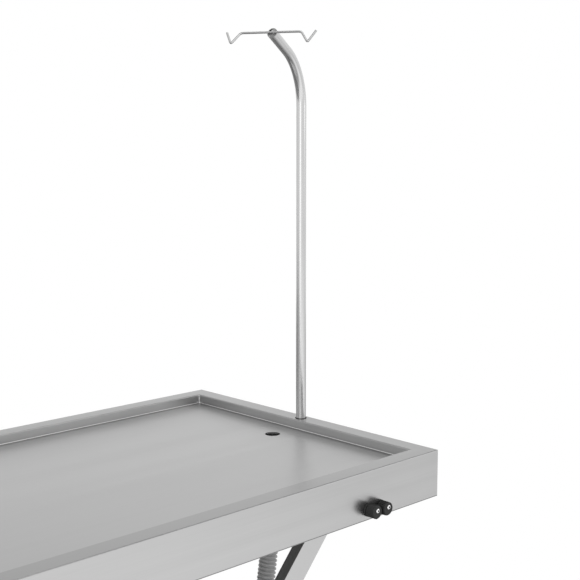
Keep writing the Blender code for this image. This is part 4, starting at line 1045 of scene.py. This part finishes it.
def tone_ramp(tree, value, tones):
    """A smooth run of greys, given as (place, tone)."""
    ramp = add(tree, "ShaderNodeValToRGB", {0: value})
    ramp.color_ramp.interpolation = "EASE"
    stops = ramp.color_ramp.elements
    stops[0].position = tones[0][0]
    stops[1].position = tones[-1][0]
    for place, tone in tones[1:-1]:
        stops.new(place)
    for stop, (place, tone) in zip(stops, tones):
        stop.position = place
        stop.color = (tone, tone, tone, 1)
    return ramp.outputs["Color"]


def make_room(studio):
    """White for the camera. For light and reflections, a horizon whose tone changes with its heading."""
    world = bpy.data.worlds.new("room")
    bpy.context.scene.world = world
    world.use_nodes = True
    tree = world.node_tree
    tree.nodes.clear()
    out = tree.nodes.new("ShaderNodeOutputWorld")
    path = tree.nodes.new("ShaderNodeLightPath")
    place = tree.nodes.new("ShaderNodeTexCoord")
    apart = add(tree, "ShaderNodeSeparateXYZ", {0: place.outputs["Generated"]}).outputs
    heading = calc(tree, "ARCTAN2", apart["Y"], apart["X"])
    share = calc(tree, "FRACT", calc(tree, "MULTIPLY_ADD", heading, 1 / (2 * math.pi), 1.0))
    horizon = tone_ramp(tree, share, HORIZON)
    overhead = tone_ramp(tree, apart["Z"], OVERHEAD)
    rise = span(tree, apart["Z"], *HORIZON_FADE, 0.0, 1.0)
    colour = mixed(tree, rise, horizon, overhead)
    lit = add(tree, "ShaderNodeBackground", {"Strength": 2 * studio.room, "Color": colour})
    seen = add(tree, "ShaderNodeBackground", {"Strength": 1.0, "Color": (1, 1, 1, 1)})
    shaders = {0: path.outputs["Is Camera Ray"], 1: lit.outputs[0], 2: seen.outputs[0]}
    mix = add(tree, "ShaderNodeMixShader", shaders)
    tree.links.new(mix.outputs[0], out.inputs["Surface"])


def soft_light(name, place, aim, side, power):
    data = bpy.data.lights.new(name, "AREA")
    data.shape = "RECTANGLE"
    data.size = data.size_y = side
    data.energy = power
    light = linked(name, data)
    light.location = place
    light.rotation_euler = (Vector(aim) - Vector(place)).to_track_quat("-Z", "Y").to_euler()


def make_floor(studio):
    """A floor that the camera sees white but for shadows, and that has a painted glow in reflections, dimmed
    near the table as its painted shadow.
    """
    bm = bmesh.new()
    bmesh.ops.create_grid(bm, x_segments=1, y_segments=1, size=studio.floor_size / 2)
    floor = from_bmesh("floor", bm)
    tree, shader, place = blank_finish("floor_paint", (studio.floor_tone,) * 3, FLOOR_ROUGHNESS, 0.0)
    path = tree.nodes.new("ShaderNodeLightPath").outputs
    away = add(tree, "ShaderNodeVectorMath", {0: place}, operation="LENGTH").outputs["Value"]
    reach = studio.shadow_reach
    plain_share = span(tree, away, reach / 2, reach, SHADOW_FADE, 1.0)
    apart = add(tree, "ShaderNodeSeparateXYZ", {0: place}).outputs
    # Painted glow for reflections: dimmer behind the table and towards the pole end, and dimmed near the
    # middle as the table's painted shadow
    to_front = span(tree, apart["Y"], *GLOW_TO_FRONT)
    glow = calc(tree, "MULTIPLY", to_front, span(tree, away, *GLOW_OFF_MIDDLE))
    glow = calc(tree, "MULTIPLY", glow, span(tree, apart["X"], *GLOW_TO_POLE_END))
    glow = calc(tree, "MULTIPLY", glow, studio.floor_glow)
    strength = calc(tree, "MULTIPLY_ADD", path["Is Glossy Ray"], glow, path["Is Camera Ray"])
    lamp = add(tree, "ShaderNodeEmission", {"Color": (1, 1, 1, 1), "Strength": strength})
    seen = calc(tree, "MULTIPLY_ADD", path["Is Camera Ray"], plain_share, path["Is Glossy Ray"])
    mix = add(tree, "ShaderNodeMixShader", {0: seen, 1: shader.outputs["BSDF"], 2: lamp.outputs[0]})
    tree.links.new(mix.outputs[0], tree.nodes["Material Output"].inputs["Surface"])
    floor.data.materials.append(finish("floor_paint"))


def make_stage(settings):
    studio = settings.studio
    make_camera()
    make_room(studio)
    make_floor(studio)
    for (name, place, aim, side), power in zip(SOFT_LIGHTS, (studio.key_power, studio.fill_power)):
        soft_light(name, place, aim, side, power)
    bpy.context.scene.view_settings.view_transform = "Standard"


# Tray top

HOLE_STEPS = 64
SCREW_HOLE_STEPS = 24
WELD_INSET = 0.3
WELD_SPACING = 0.7
WELD_SEED = 4


def make_tray(settings):
    """The folded sheet with rim, sunk floor and skirt, its holes and its corner welds."""
    tray = settings.tray
    size = TRAY_HIGH - TRAY_LOW
    bm = bmesh.new()
    bmesh.ops.create_grid(bm, x_segments=1, y_segments=1, size=0.5)
    bmesh.ops.scale(bm, vec=Vector((size.x, size.y, 1)), verts=bm.verts)
    floor = next(iter(bm.faces))
    bmesh.ops.inset_region(
        bm, faces=[floor], thickness=tray.rim_width, use_even_offset=True, use_boundary=True
    )
    lifted(bm, bmesh.ops.extrude_face_region(bm, geom=[floor])["geom"], -tray.depth)
    bmesh.ops.delete(bm, geom=[floor], context="FACES_ONLY")
    border = [edge for edge in bm.edges if edge.is_boundary]
    lifted(bm, bmesh.ops.extrude_edge_only(bm, edges=border)["geom"], SKIRT_Z - TOP_Z)
    bmesh.ops.recalc_face_normals(bm, faces=bm.faces)
    lowest = min((f for f in bm.faces if abs(f.normal.z) > 0.5), key=lambda f: f.calc_center_median().z)
    if lowest.normal.z < 0:
        bmesh.ops.reverse_faces(bm, faces=bm.faces)
    bmesh.ops.translate(bm, vec=(0, 0, TOP_Z), verts=bm.verts)
    sheet = from_bmesh("tray_sheet", bm)
    modifier(sheet, "BEVEL", width=tray.bend_radius, segments=tray.bend_steps, limit_method="ANGLE")
    modifier(
        sheet, "SOLIDIFY", thickness=tray.sheet, offset=-1, use_even_offset=True, use_quality_normals=True
    )
    deep = 2 * tray.depth
    socket_bore = SOCKET_HIGH.x - POLE_X - tray.sheet
    cutters = [
        round_cutter((DRAIN_X, 0, TOP_Z - tray.depth), UP, settings.drain.hole_radius, deep, HOLE_STEPS),
        round_cutter((POLE_X, 0, TOP_Z), UP, socket_bore, deep, HOLE_STEPS),
    ]
    # Each near screw's hole runs on through the far skirt, where the far cleat's screw is
    for name in JOINTS:
        if name.startswith("cam_") and "_near_" in name:
            x, _, z = JOINTS[name]["pos_m"]
            hole = round_cutter((x, 0, z), ACROSS, SCREW_HOLE, size.y + deep, SCREW_HOLE_STEPS)
            cutters.append(hole)
    dress(cut(sheet, *cutters), "table", "stainless", finish("tray_steel"), "tray_top", angle=30)
    make_corner_welds(tray)


def make_corner_welds(tray):
    """A vertical weld in each inner corner of the tray."""
    bead = tray.weld_radius
    x = TRAY_HIGH.x - tray.rim_width - bead * WELD_INSET
    y = TRAY_HIGH.y - tray.rim_width - bead * WELD_INSET
    tree = bead_tree()
    for end, along in ENDS.items():
        for word, side in SIDES.items():
            low = Vector((along * x, side * y, TOP_Z - tray.depth + bead / 2))
            high = Vector((along * x, side * y, TOP_Z - bead * 2))
            weld = grown(
                "corner_weld_" + end + "_" + word, tree, poly_curve("line", [low, high]),
                bead_radius=bead, spacing=bead * WELD_SPACING, seed=WELD_SEED, material=finish("weld_steel"),
            )
            dress(weld, "table", "stainless", finish("weld_steel"), weighted=False, angle=180)


# Drain

HOSE_ROUTE = (
    (0.0, 0.0),
    (0.0, -0.040),
    (-0.0025, -0.100),
    (-0.0120, -0.190),
    (-0.0200, -0.245),
    (-0.0245, -0.290),
    (-0.0250, -0.330),
)
FINE_STEPS = 400
HOSE_STEPS = 60
HOSE_SIDES = 40
RINGS_PER_RIB = 12


def hose_point(t):
    """A point of the smooth curve through the route, t running from 0 to 1."""
    spans = len(HOSE_ROUTE) - 1
    i = min(int(t * spans), spans - 1)
    u = t * spans - i
    a, b, c, d = (Vector(HOSE_ROUTE[min(max(i + k, 0), spans)]) for k in (-1, 0, 1, 2))
    return 0.5 * (2 * b + (c - a) * u + (2 * a - 5 * b + 4 * c - d) * u**2 + (3 * b - a - 3 * c + d) * u**3)


def hose_points(drain):
    """The hose's centre line, in points of even spacing and of the hose's real length."""
    fine = [hose_point(i / FINE_STEPS) for i in range(FINE_STEPS + 1)]
    run = [0.0]
    for before, after in zip(fine, fine[1:]):
        run.append(run[-1] + (after - before).length)
    points = []
    k = 0
    for i in range(HOSE_STEPS + 1):
        wanted = run[-1] * i / HOSE_STEPS
        while k < len(run) - 2 and run[k + 1] < wanted:
            k += 1
        spot = fine[k].lerp(fine[k + 1], (wanted - run[k]) / (run[k + 1] - run[k]))
        point = Vector((spot.x, 0, spot.y)) * (drain.hose_length / run[-1])
        points.append(point + Vector((DRAIN_X, 0, HOSE_TOP_Z - GAP)))
    return points


def facing_out(bm):
    """Turns a skin's faces away from its middle."""
    cleaned(bm)
    middle = sum((face.calc_center_median() for face in bm.faces), Vector()) / len(bm.faces)
    outermost = max(bm.faces, key=lambda face: face.calc_center_median().x - middle.x)
    if outermost.normal.x < 0:
        bmesh.ops.reverse_faces(bm, faces=bm.faces)


def make_drain(settings):
    """The spigot under the drain hole, its cuff and the ribbed hose."""
    drain = settings.drain
    points = hose_points(drain)
    skin = grown(
        "ribbed_hose", rib_tree(), poly_curve("line", points), radius=drain.hose_radius,
        pitch=drain.rib_pitch, depth=drain.rib_depth, ring_spacing=drain.rib_pitch / RINGS_PER_RIB,
        sides=HOSE_SIDES, sharpness=drain.rib_sharpness, material=finish("hose_plastic"),
    )
    edited(skin, facing_out)
    modifier(skin, "SOLIDIFY", thickness=drain.hose_wall, offset=-1)
    skin = plain(skin)
    hose = dress(skin, "table", "hose", finish("hose_plastic"), "drain_hose", angle=60, weighted=False)
    cuff = dress_turned("hose_cuff", settings.lift, UP, "table", "rubber", "cuff_rubber")
    dress_turned("drain_spigot", settings.lift, UP, "table", "stainless", "barrel_steel")


# Drip pole

HOOK_SETBACK = 0.0015
HOOK_LIFT = 0.0023
HOOK_SHIFT = 0.0041
HOOK_ROLL = math.radians(0.9)
HOOK_OUTLINE = ((0.0595, 0.0), (0.0752, 0.0211), (0.0877, -0.0013))
CROOK_STEPS = 40
POLE_END_EDGE = 0.0004
WIRE_END_EDGE = 0.0011
POLE_ROUNDNESS = 12
BORE_ROUNDNESS = 10
WIRE_ROUNDNESS = 5
WIRE_BEND_STEPS = 8
HOOK_SEAT_STEPS = 32


def pole_line(pole):
    """The pole's centre line from inside its socket to its mouth, and its heading and last direction."""
    heading = Vector((math.cos(pole.heading), math.sin(pole.heading), 0))
    up = Vector(UP)
    foot = Vector((POLE_X, 0, TOP_Z))
    points = [foot - up * pole.depth]
    for i in range(CROOK_STEPS + 1):
        turn = pole.bend_angle * i / CROOK_STEPS
        out = pole.bend_radius * (1 - math.cos(turn))
        height = pole.straight + pole.bend_radius * math.sin(turn)
        points.append(foot + heading * out + up * height)
    end_way = heading * math.sin(pole.bend_angle) + up * math.cos(pole.bend_angle)
    points.append(points[-1] + end_way * pole.tail)
    return points, heading, end_way


def make_pole(settings):
    """The bent tube with its wire hook, and the bush and socket that it stands in."""
    pole = settings.pole
    points, heading, end_way = pole_line(pole)
    tube = tube_along("bent_pole", points, pole.radius, POLE_ROUNDNESS)
    mouth_depth = HOOK_SETBACK + pole.wire_radius + 2 * GAP
    below = points[0] - Vector(UP) * pole.radius
    inside = [below, *points[1:-1], points[-1] - end_way * (mouth_depth + pole.wall)]
    mouth = [points[-1] - end_way * mouth_depth, points[-1] + end_way * pole.radius]
    bore = pole.radius - pole.wall
    bores = [tube_along("pole_bore", inside, bore, BORE_ROUNDNESS)]
    bores.append(tube_along("pole_mouth", mouth, bore, BORE_ROUNDNESS))
    tube = cut(tube, *bores)
    tube = round_ends(tube, POLE_END_EDGE, 2)
    bar = end_way.cross(heading).normalized()
    if bar.y > 0:
        bar.negate()
    bar.rotate(Matrix.Rotation(-HOOK_ROLL, 3, end_way))
    fall = bar.cross(end_way)
    if fall.z > 0:
        fall.negate()
    hook_at = points[-1] - end_way * HOOK_SETBACK - fall * HOOK_LIFT - bar * HOOK_SHIFT
    room = pole.wire_radius + GAP
    notch = box_cutter(
        (4 * pole.radius, 2 * room, 2 * pole.radius),
        Matrix.Translation(hook_at) @ Matrix((bar, end_way.cross(bar), end_way)).transposed().to_4x4(),
        (0, 0, pole.radius),
    )
    tube = cut(tube, round_cutter(hook_at, bar, room, 4 * pole.radius, HOOK_SEAT_STEPS), notch)
    dress(tube, "drip_pole", "stainless", finish("pole_steel"), "drip_pole", angle=40)
    corners = [hook_at - bar * along + fall * down for along, down in reversed(HOOK_OUTLINE)]
    corners += [hook_at + bar * along + fall * down for along, down in HOOK_OUTLINE]
    route = rounded_route(corners, pole.hook_bend, WIRE_BEND_STEPS)
    wire = tube_along("wire_hook", route, pole.wire_radius, WIRE_ROUNDNESS)
    wire = round_ends(wire, WIRE_END_EDGE, 4)
    dress(wire, "drip_pole", "stainless", finish("wire_steel"), "drip_hook", angle=60)
    dress_turned("pole_bush", settings.lift, UP, "pole_bush", "black_plastic", "black_plastic")
    dress_turned("pole_socket", settings.lift, UP, "table", "stainless", "barrel_steel")


# Cord cleats

PLATE_MARGIN = 0.0004
PLATE_EDGE = 0.0006
TOOTH_WIDTH_SHARE = 0.9
CAM_BORE_STEPS = 32
SCREW_STEPS = 48
HEX_SIDES = 6
HEX_RADIUS = 0.0019
HEX_DEPTH = 0.0017
SHANK_RADIUS = 0.0025
SHANK_REACH = 0.0015
HEAD_TOP_SHARE = 0.62
HEAD_SHOULDER_SHARE = 0.9
HEAD_SIDE_SHARE = 0.3


def stadium(half, radius, steps=24):
    """The outline of a bar with round ends, centred."""
    outline = []
    for centre, start in ((half, -math.pi / 2), (-half, math.pi / 2)):
        for i in range(steps + 1):
            angle = start + math.pi * i / steps
            outline.append((centre + radius * math.cos(angle), radius * math.sin(angle)))
    return outline


def circle(radius, steps=72):
    return [
        (radius * math.cos(2 * math.pi * i / steps), radius * math.sin(2 * math.pi * i / steps))
        for i in range(steps)
    ]


def upright(point, side):
    """Local XY as the plane of a long side, seen from outside it, at a point."""
    turn = Matrix(((-side, 0, 0), (0, 0, side), (0, 1, 0))).to_4x4()
    return Matrix.Translation(point) @ turn


def make_cleats(settings):
    """Four cord cleats: a base plate, two screws and two toothed cams each."""
    cleats = settings.cleats
    teeth = arc_tree()
    for end in ENDS:
        for word, side in SIDES.items():
            make_cleat_base(cleats, end, word, side)
            for hand, mate in (("left", 1), ("right", -1)):
                make_cam(cleats, teeth, end + "_" + word + "_" + hand, side, mate)


def cam_axis(label):
    return Vector(JOINTS["cam_" + label + "_open"]["pos_m"])


def make_cleat_base(cleats, end, word, side):
    """The plate behind two cams, and the screws through them."""
    label = end + "_" + word
    low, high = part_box("cleat_base_" + label)
    cam_low, cam_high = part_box("cleat_cam_" + label + "_left")
    left = cam_axis(label + "_left")
    right = cam_axis(label + "_right")
    inside = TRAY_HIGH.y + GAP
    outside = min(abs(cam_low.y), abs(cam_high.y)) - GAP
    middle = (left + right) / 2
    middle.y = side * (inside + outside) / 2
    middle.z -= cleats.lobe
    outline = stadium((right - left).length / 2, cleats.cam_radius - PLATE_MARGIN)
    plate = "cleat_plate_" + label
    base = plate_of(plate, outline, outside - inside, upright(middle, side), PLATE_EDGE)
    dress(base, "table", "black_plastic", finish("black_plastic"), "cleat_base_" + label)
    face = max(abs(low.y), abs(high.y))
    under = max(abs(cam_low.y), abs(cam_high.y)) + GAP
    for hand, axis in (("left", left), ("right", right)):
        make_screw(cleats, "cleat_screw_" + label + "_" + hand, axis, side, under, face)


def make_screw(cleats, name, axis, side, under, face):
    """A button-head screw with a hex socket."""
    head = cleats.screw_radius
    inner_end = TRAY_HIGH.y - SHANK_REACH
    profile = [
        (0, face),
        (head * HEAD_TOP_SHARE, face),
        (head * HEAD_SHOULDER_SHARE, (face * 2 + under) / 3),
        (head, under + (face - under) * HEAD_SIDE_SHARE),
        (head, under),
        (SHANK_RADIUS, under),
        (SHANK_RADIUS, inner_end),
        (0, inner_end),
    ]
    outward = (0, side, 0)
    screw = turned(name, profile, axis_frame(Vector((axis.x, 0, axis.z)), outward), SCREW_STEPS)
    mouth = axis_frame(Vector((axis.x, side * face, axis.z)), outward)
    screw = cut(screw, cone_cutter(mouth, HEX_RADIUS, 2 * HEX_DEPTH, HEX_SIDES))
    # Marks the hex socket's faces for painted shade
    sunk = screw.data.attributes.new("socket", "FLOAT", "FACE")
    for face_of, value in zip(screw.data.polygons, sunk.data):
        spot = face_of.center
        inside = math.hypot(spot.x - axis.x, spot.z - axis.z) < HEX_RADIUS
        value.value = 1.0 if inside and under < abs(spot.y) < face - MERGE else 0.0
    dress(screw, "table", "stainless", finish("screw_steel"))


def make_cam(cleats, teeth, label, side, mate):
    """An eccentric drum with a row of teeth towards its mate."""
    node = "cleat_cam_" + label
    low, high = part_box(node)
    thickness = high.y - low.y
    axis = cam_axis(label)
    middle = Vector((axis.x, (low.y + high.y) / 2, axis.z - cleats.lobe))
    radius = cleats.cam_radius - cleats.tooth
    place = upright(middle, side)
    drum = plate_of(node + "_drum", circle(radius), thickness, place, cleats.edge, 4)
    deep, wide = cleats.tooth, cleats.tooth * TOOTH_WIDTH_SHARE
    wedge = [(-deep, -wide), (deep, 0), (-deep, wide)]
    tooth = plate_of("tooth", wedge, thickness - 2 * cleats.edge, Matrix.Identity(4), 0)
    start = math.pi / 2 if mate * side > 0 else -math.pi / 2
    row = grown(
        node + "_teeth", teeth, tooth, count=cleats.tooth_count, radius=radius, start_angle=start,
        sweep=math.pi, material=finish("black_plastic"),
    )
    row.data.transform(place)
    centre = Vector((axis.x, middle.y, axis.z))
    bore = round_cutter(centre, ACROSS, SCREW_HOLE, 2 * thickness, CAM_BORE_STEPS)
    drum = cut(joined(drum, row), bore)
    dress(drum, "cam_" + label, "black_plastic", finish("black_plastic"), node, angle=30)


# Frame, lift and drive. Each LEAST is the length past which a piece's edges are rounded

RAIL_LEAST = 0.02
BLOCK_LEAST = 0.01
PLATE_LEAST = 0.005
CYLINDER_LEAST = 0.004
NO_EDGES = math.inf

# The feet's threads, on the rod of each foot
ROD_RADIUS = 0.006
THREAD_ROOT = 0.0004
THREAD_CREST = 0.0002
THREAD_HALF = 0.0006
THREAD_START = 0.0165
THREAD_STEPS = 32


def make_rails(settings):
    """The channel rails and cross members of the base and the table."""
    rounding = settings.lift.rail_edge
    members = {"base": ("pole_end", "free_end", "middle"), "table": ("pole_end", "free_end")}
    for body, words in members.items():
        for kind, names in (("rail", SIDES), ("cross", words)):
            for word in names:
                node = body + "_" + kind + "_" + word
                piece = softened(node, rounding, RAIL_LEAST)
                dress(piece, body, "stainless", finish(kind + "_steel"), node)


def make_arms(settings):
    """The scissor's arms, the tubes between them, the washers and the shafts."""
    lift = settings.lift
    for pair in ("inner", "outer"):
        for word in SIDES:
            node = pair + "_arm_" + word
            arm = softened(node, lift.tube_edge, PLATE_LEAST, 4)
            dress(arm, pair + "_arms", "stainless", finish(pair + "_arm_steel"), node)
    for word in ("low", "high"):
        dress_turned("inner_cross_tube_" + word, lift, ACROSS, "inner_arms", "stainless", "turned_steel")
    for word in SIDES:
        dress_turned("arm_washer_" + word, lift, ACROSS, "inner_arms", "nylon", "white_nylon")
    shafts = (
        ("centre_shaft", "inner_arms"),
        ("top_roller_axle", "inner_arms"),
        ("base_roller_axle", "outer_arms"),
        ("base_pivot_shaft", "base"),
        ("table_pivot_shaft", "table"),
        ("rod_pin", "outer_arms"),
        ("cylinder_pin", "base"),
    )
    for node, body in shafts:
        dress_turned(node, lift, ACROSS, body, "zinc", "zinc_plate")
    lug = softened("lifting_tube", lift.plate_edge, PLATE_LEAST)
    dress(lug, "outer_arms", "stainless", finish("turned_steel"), "lifting_tube")


def make_rollers(settings):
    """Four nylon rollers."""
    for level in ("top", "base"):
        for word in SIDES:
            node = level + "_roller_" + word
            dress_turned(node, settings.lift, ACROSS, node, "nylon", "white_nylon")


def make_feet(settings):
    """Four levelling feet with their threads."""
    lift = settings.lift
    tree = row_tree("foot_thread")
    for end in ENDS:
        for word in SIDES:
            label = end + "_" + word
            node = "levelling_foot_" + label
            body = "foot_" + label
            dress_turned(node, lift, UP, body, "black_plastic", "black_plastic")
            low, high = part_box(node)
            middle = (low + high) / 2
            root = ROD_RADIUS - THREAD_ROOT
            profile = [(root, THREAD_HALF), (ROD_RADIUS + THREAD_CREST, 0), (root, -THREAD_HALF)]
            place = Matrix.Translation((middle.x, middle.y, low.z + THREAD_START))
            ring = turned("ring", profile, place, THREAD_STEPS, closed=True)
            count = int((high.z - low.z - THREAD_START) / lift.thread_pitch)
            thread = grown(
                "thread_" + label, tree, ring, count=count, step=(0, 0, lift.thread_pitch),
                material=finish("zinc_plate"),
            )
            dress(thread, body, "zinc", finish("zinc_plate"), weighted=False)


def make_cylinder(settings):
    """The hydraulic cylinder and its piston rod."""
    edge = settings.lift.turned_edge
    body = softened("cylinder_body", edge, CYLINDER_LEAST)
    dress(body, "cylinder", "stainless", finish("barrel_steel"), "cylinder_body")
    rod = softened("cylinder_rod", edge, CYLINDER_LEAST)
    dress(rod, "piston_rod", "chrome", finish("chromed_rod"), "cylinder_rod")


def make_pump(settings):
    """The foot pump, its pipe and its two pedals."""
    lift = settings.lift
    block = softened("pump_block", lift.plate_edge, BLOCK_LEAST)
    dress(block, "base", "pump_paint", finish("pump_paint"), "pump_block")
    dress_turned("pedal_pin", lift, (1, 0, 0), "base", "zinc", "zinc_plate")
    for node in ("pump_pedal", "release_pedal"):
        pedal = softened(node, lift.plate_edge, PLATE_LEAST)
        dress(pedal, node, "dark_steel", finish("pedal_paint"), node)
    pipe = softened("pressure_pipe", 0.0, NO_EDGES)
    dress(pipe, "base", "zinc", finish("zinc_plate"), "pressure_pipe", angle=60)


# Operators, one for each piece or group of like pieces

class TREATMENT_TABLE_OT_make_stage(bpy.types.Operator):
    """Set up the camera, the soft light and the pale floor"""

    bl_idname = "treatment_table.make_stage"
    bl_label = "Stage"

    def execute(self, context):
        make_stage(context.scene.treatment_table)
        return {"FINISHED"}


class TREATMENT_TABLE_OT_make_finishes(bpy.types.Operator):
    """Build the materials that the pieces share"""

    bl_idname = "treatment_table.make_finishes"
    bl_label = "Finishes"

    def execute(self, context):
        make_finishes(context.scene.treatment_table)
        return {"FINISHED"}


class TREATMENT_TABLE_OT_make_drain(bpy.types.Operator):
    """Make the spigot, its cuff and the ribbed hose"""

    bl_idname = "treatment_table.make_drain"
    bl_label = "Drain and hose"

    def execute(self, context):
        make_drain(context.scene.treatment_table)
        return {"FINISHED"}


class TREATMENT_TABLE_OT_make_tray(bpy.types.Operator):
    """Make the folded tray top and its corner welds"""

    bl_idname = "treatment_table.make_tray"
    bl_label = "Tray top"

    def execute(self, context):
        make_tray(context.scene.treatment_table)
        return {"FINISHED"}


class TREATMENT_TABLE_OT_make_pole(bpy.types.Operator):
    """Make the drip pole, its hook, bush and socket"""

    bl_idname = "treatment_table.make_pole"
    bl_label = "Drip pole"

    def execute(self, context):
        make_pole(context.scene.treatment_table)
        return {"FINISHED"}


class TREATMENT_TABLE_OT_make_cleats(bpy.types.Operator):
    """Make the cord cleats with their cams and screws"""

    bl_idname = "treatment_table.make_cleats"
    bl_label = "Cord cleats"

    def execute(self, context):
        make_cleats(context.scene.treatment_table)
        return {"FINISHED"}


class TREATMENT_TABLE_OT_make_rails(bpy.types.Operator):
    """Make the rails and cross members"""

    bl_idname = "treatment_table.make_rails"
    bl_label = "Rails"

    def execute(self, context):
        make_rails(context.scene.treatment_table)
        return {"FINISHED"}


class TREATMENT_TABLE_OT_make_arms(bpy.types.Operator):
    """Make the scissor arms, cross tubes and shafts"""

    bl_idname = "treatment_table.make_arms"
    bl_label = "Scissor arms"

    def execute(self, context):
        make_arms(context.scene.treatment_table)
        return {"FINISHED"}


class TREATMENT_TABLE_OT_make_rollers(bpy.types.Operator):
    """Make the nylon rollers"""

    bl_idname = "treatment_table.make_rollers"
    bl_label = "Rollers"

    def execute(self, context):
        make_rollers(context.scene.treatment_table)
        return {"FINISHED"}


class TREATMENT_TABLE_OT_make_feet(bpy.types.Operator):
    """Make the levelling feet"""

    bl_idname = "treatment_table.make_feet"
    bl_label = "Levelling feet"

    def execute(self, context):
        make_feet(context.scene.treatment_table)
        return {"FINISHED"}


class TREATMENT_TABLE_OT_make_cylinder(bpy.types.Operator):
    """Make the hydraulic cylinder"""

    bl_idname = "treatment_table.make_cylinder"
    bl_label = "Cylinder"

    def execute(self, context):
        make_cylinder(context.scene.treatment_table)
        return {"FINISHED"}


class TREATMENT_TABLE_OT_make_pump(bpy.types.Operator):
    """Make the foot pump and its pedals"""

    bl_idname = "treatment_table.make_pump"
    bl_label = "Foot pump"

    def execute(self, context):
        make_pump(context.scene.treatment_table)
        return {"FINISHED"}


OPERATORS = (
    TREATMENT_TABLE_OT_make_stage,
    TREATMENT_TABLE_OT_make_finishes,
    TREATMENT_TABLE_OT_make_drain,
    TREATMENT_TABLE_OT_make_tray,
    TREATMENT_TABLE_OT_make_pole,
    TREATMENT_TABLE_OT_make_cleats,
    TREATMENT_TABLE_OT_make_rails,
    TREATMENT_TABLE_OT_make_arms,
    TREATMENT_TABLE_OT_make_rollers,
    TREATMENT_TABLE_OT_make_feet,
    TREATMENT_TABLE_OT_make_cylinder,
    TREATMENT_TABLE_OT_make_pump,
)


class VIEW3D_PT_treatment_table(bpy.types.Panel):
    """Lists the steps that make the table"""

    bl_label = "Treatment table"
    bl_idname = "VIEW3D_PT_treatment_table"
    bl_space_type = "VIEW_3D"
    bl_region_type = "UI"
    bl_category = "Table"

    def draw(self, context):
        layout = self.layout
        for operator in OPERATORS:
            layout.operator(operator.bl_idname)
        settings = context.scene.treatment_table
        for group in ("tray", "drain", "pole", "cleats", "lift", "finishes", "studio"):
            box = layout.box()
            values = getattr(settings, group)
            for key in values.bl_rna.properties.keys():
                if key not in ("rna_type", "name"):
                    box.prop(values, key)


CLASSES = (
    TraySettings,
    DrainSettings,
    PoleSettings,
    CleatSettings,
    LiftSettings,
    FinishSettings,
    StudioSettings,
    TableSettings,
    *OPERATORS,
    VIEW3D_PT_treatment_table,
)


def register():
    for made in CLASSES:
        bpy.utils.register_class(made)
    bpy.types.Scene.treatment_table = bpy.props.PointerProperty(type=TableSettings)


def unregister():
    del bpy.types.Scene.treatment_table
    for made in reversed(CLASSES):
        bpy.utils.unregister_class(made)


def main():
    register()
    steps = bpy.ops.treatment_table
    steps.make_stage()
    steps.make_finishes()
    steps.make_drain()
    steps.make_tray()
    steps.make_pole()
    steps.make_cleats()
    steps.make_rails()
    steps.make_arms()
    steps.make_rollers()
    steps.make_feet()
    steps.make_cylinder()
    steps.make_pump()


if __name__ == "__main__":
    main()
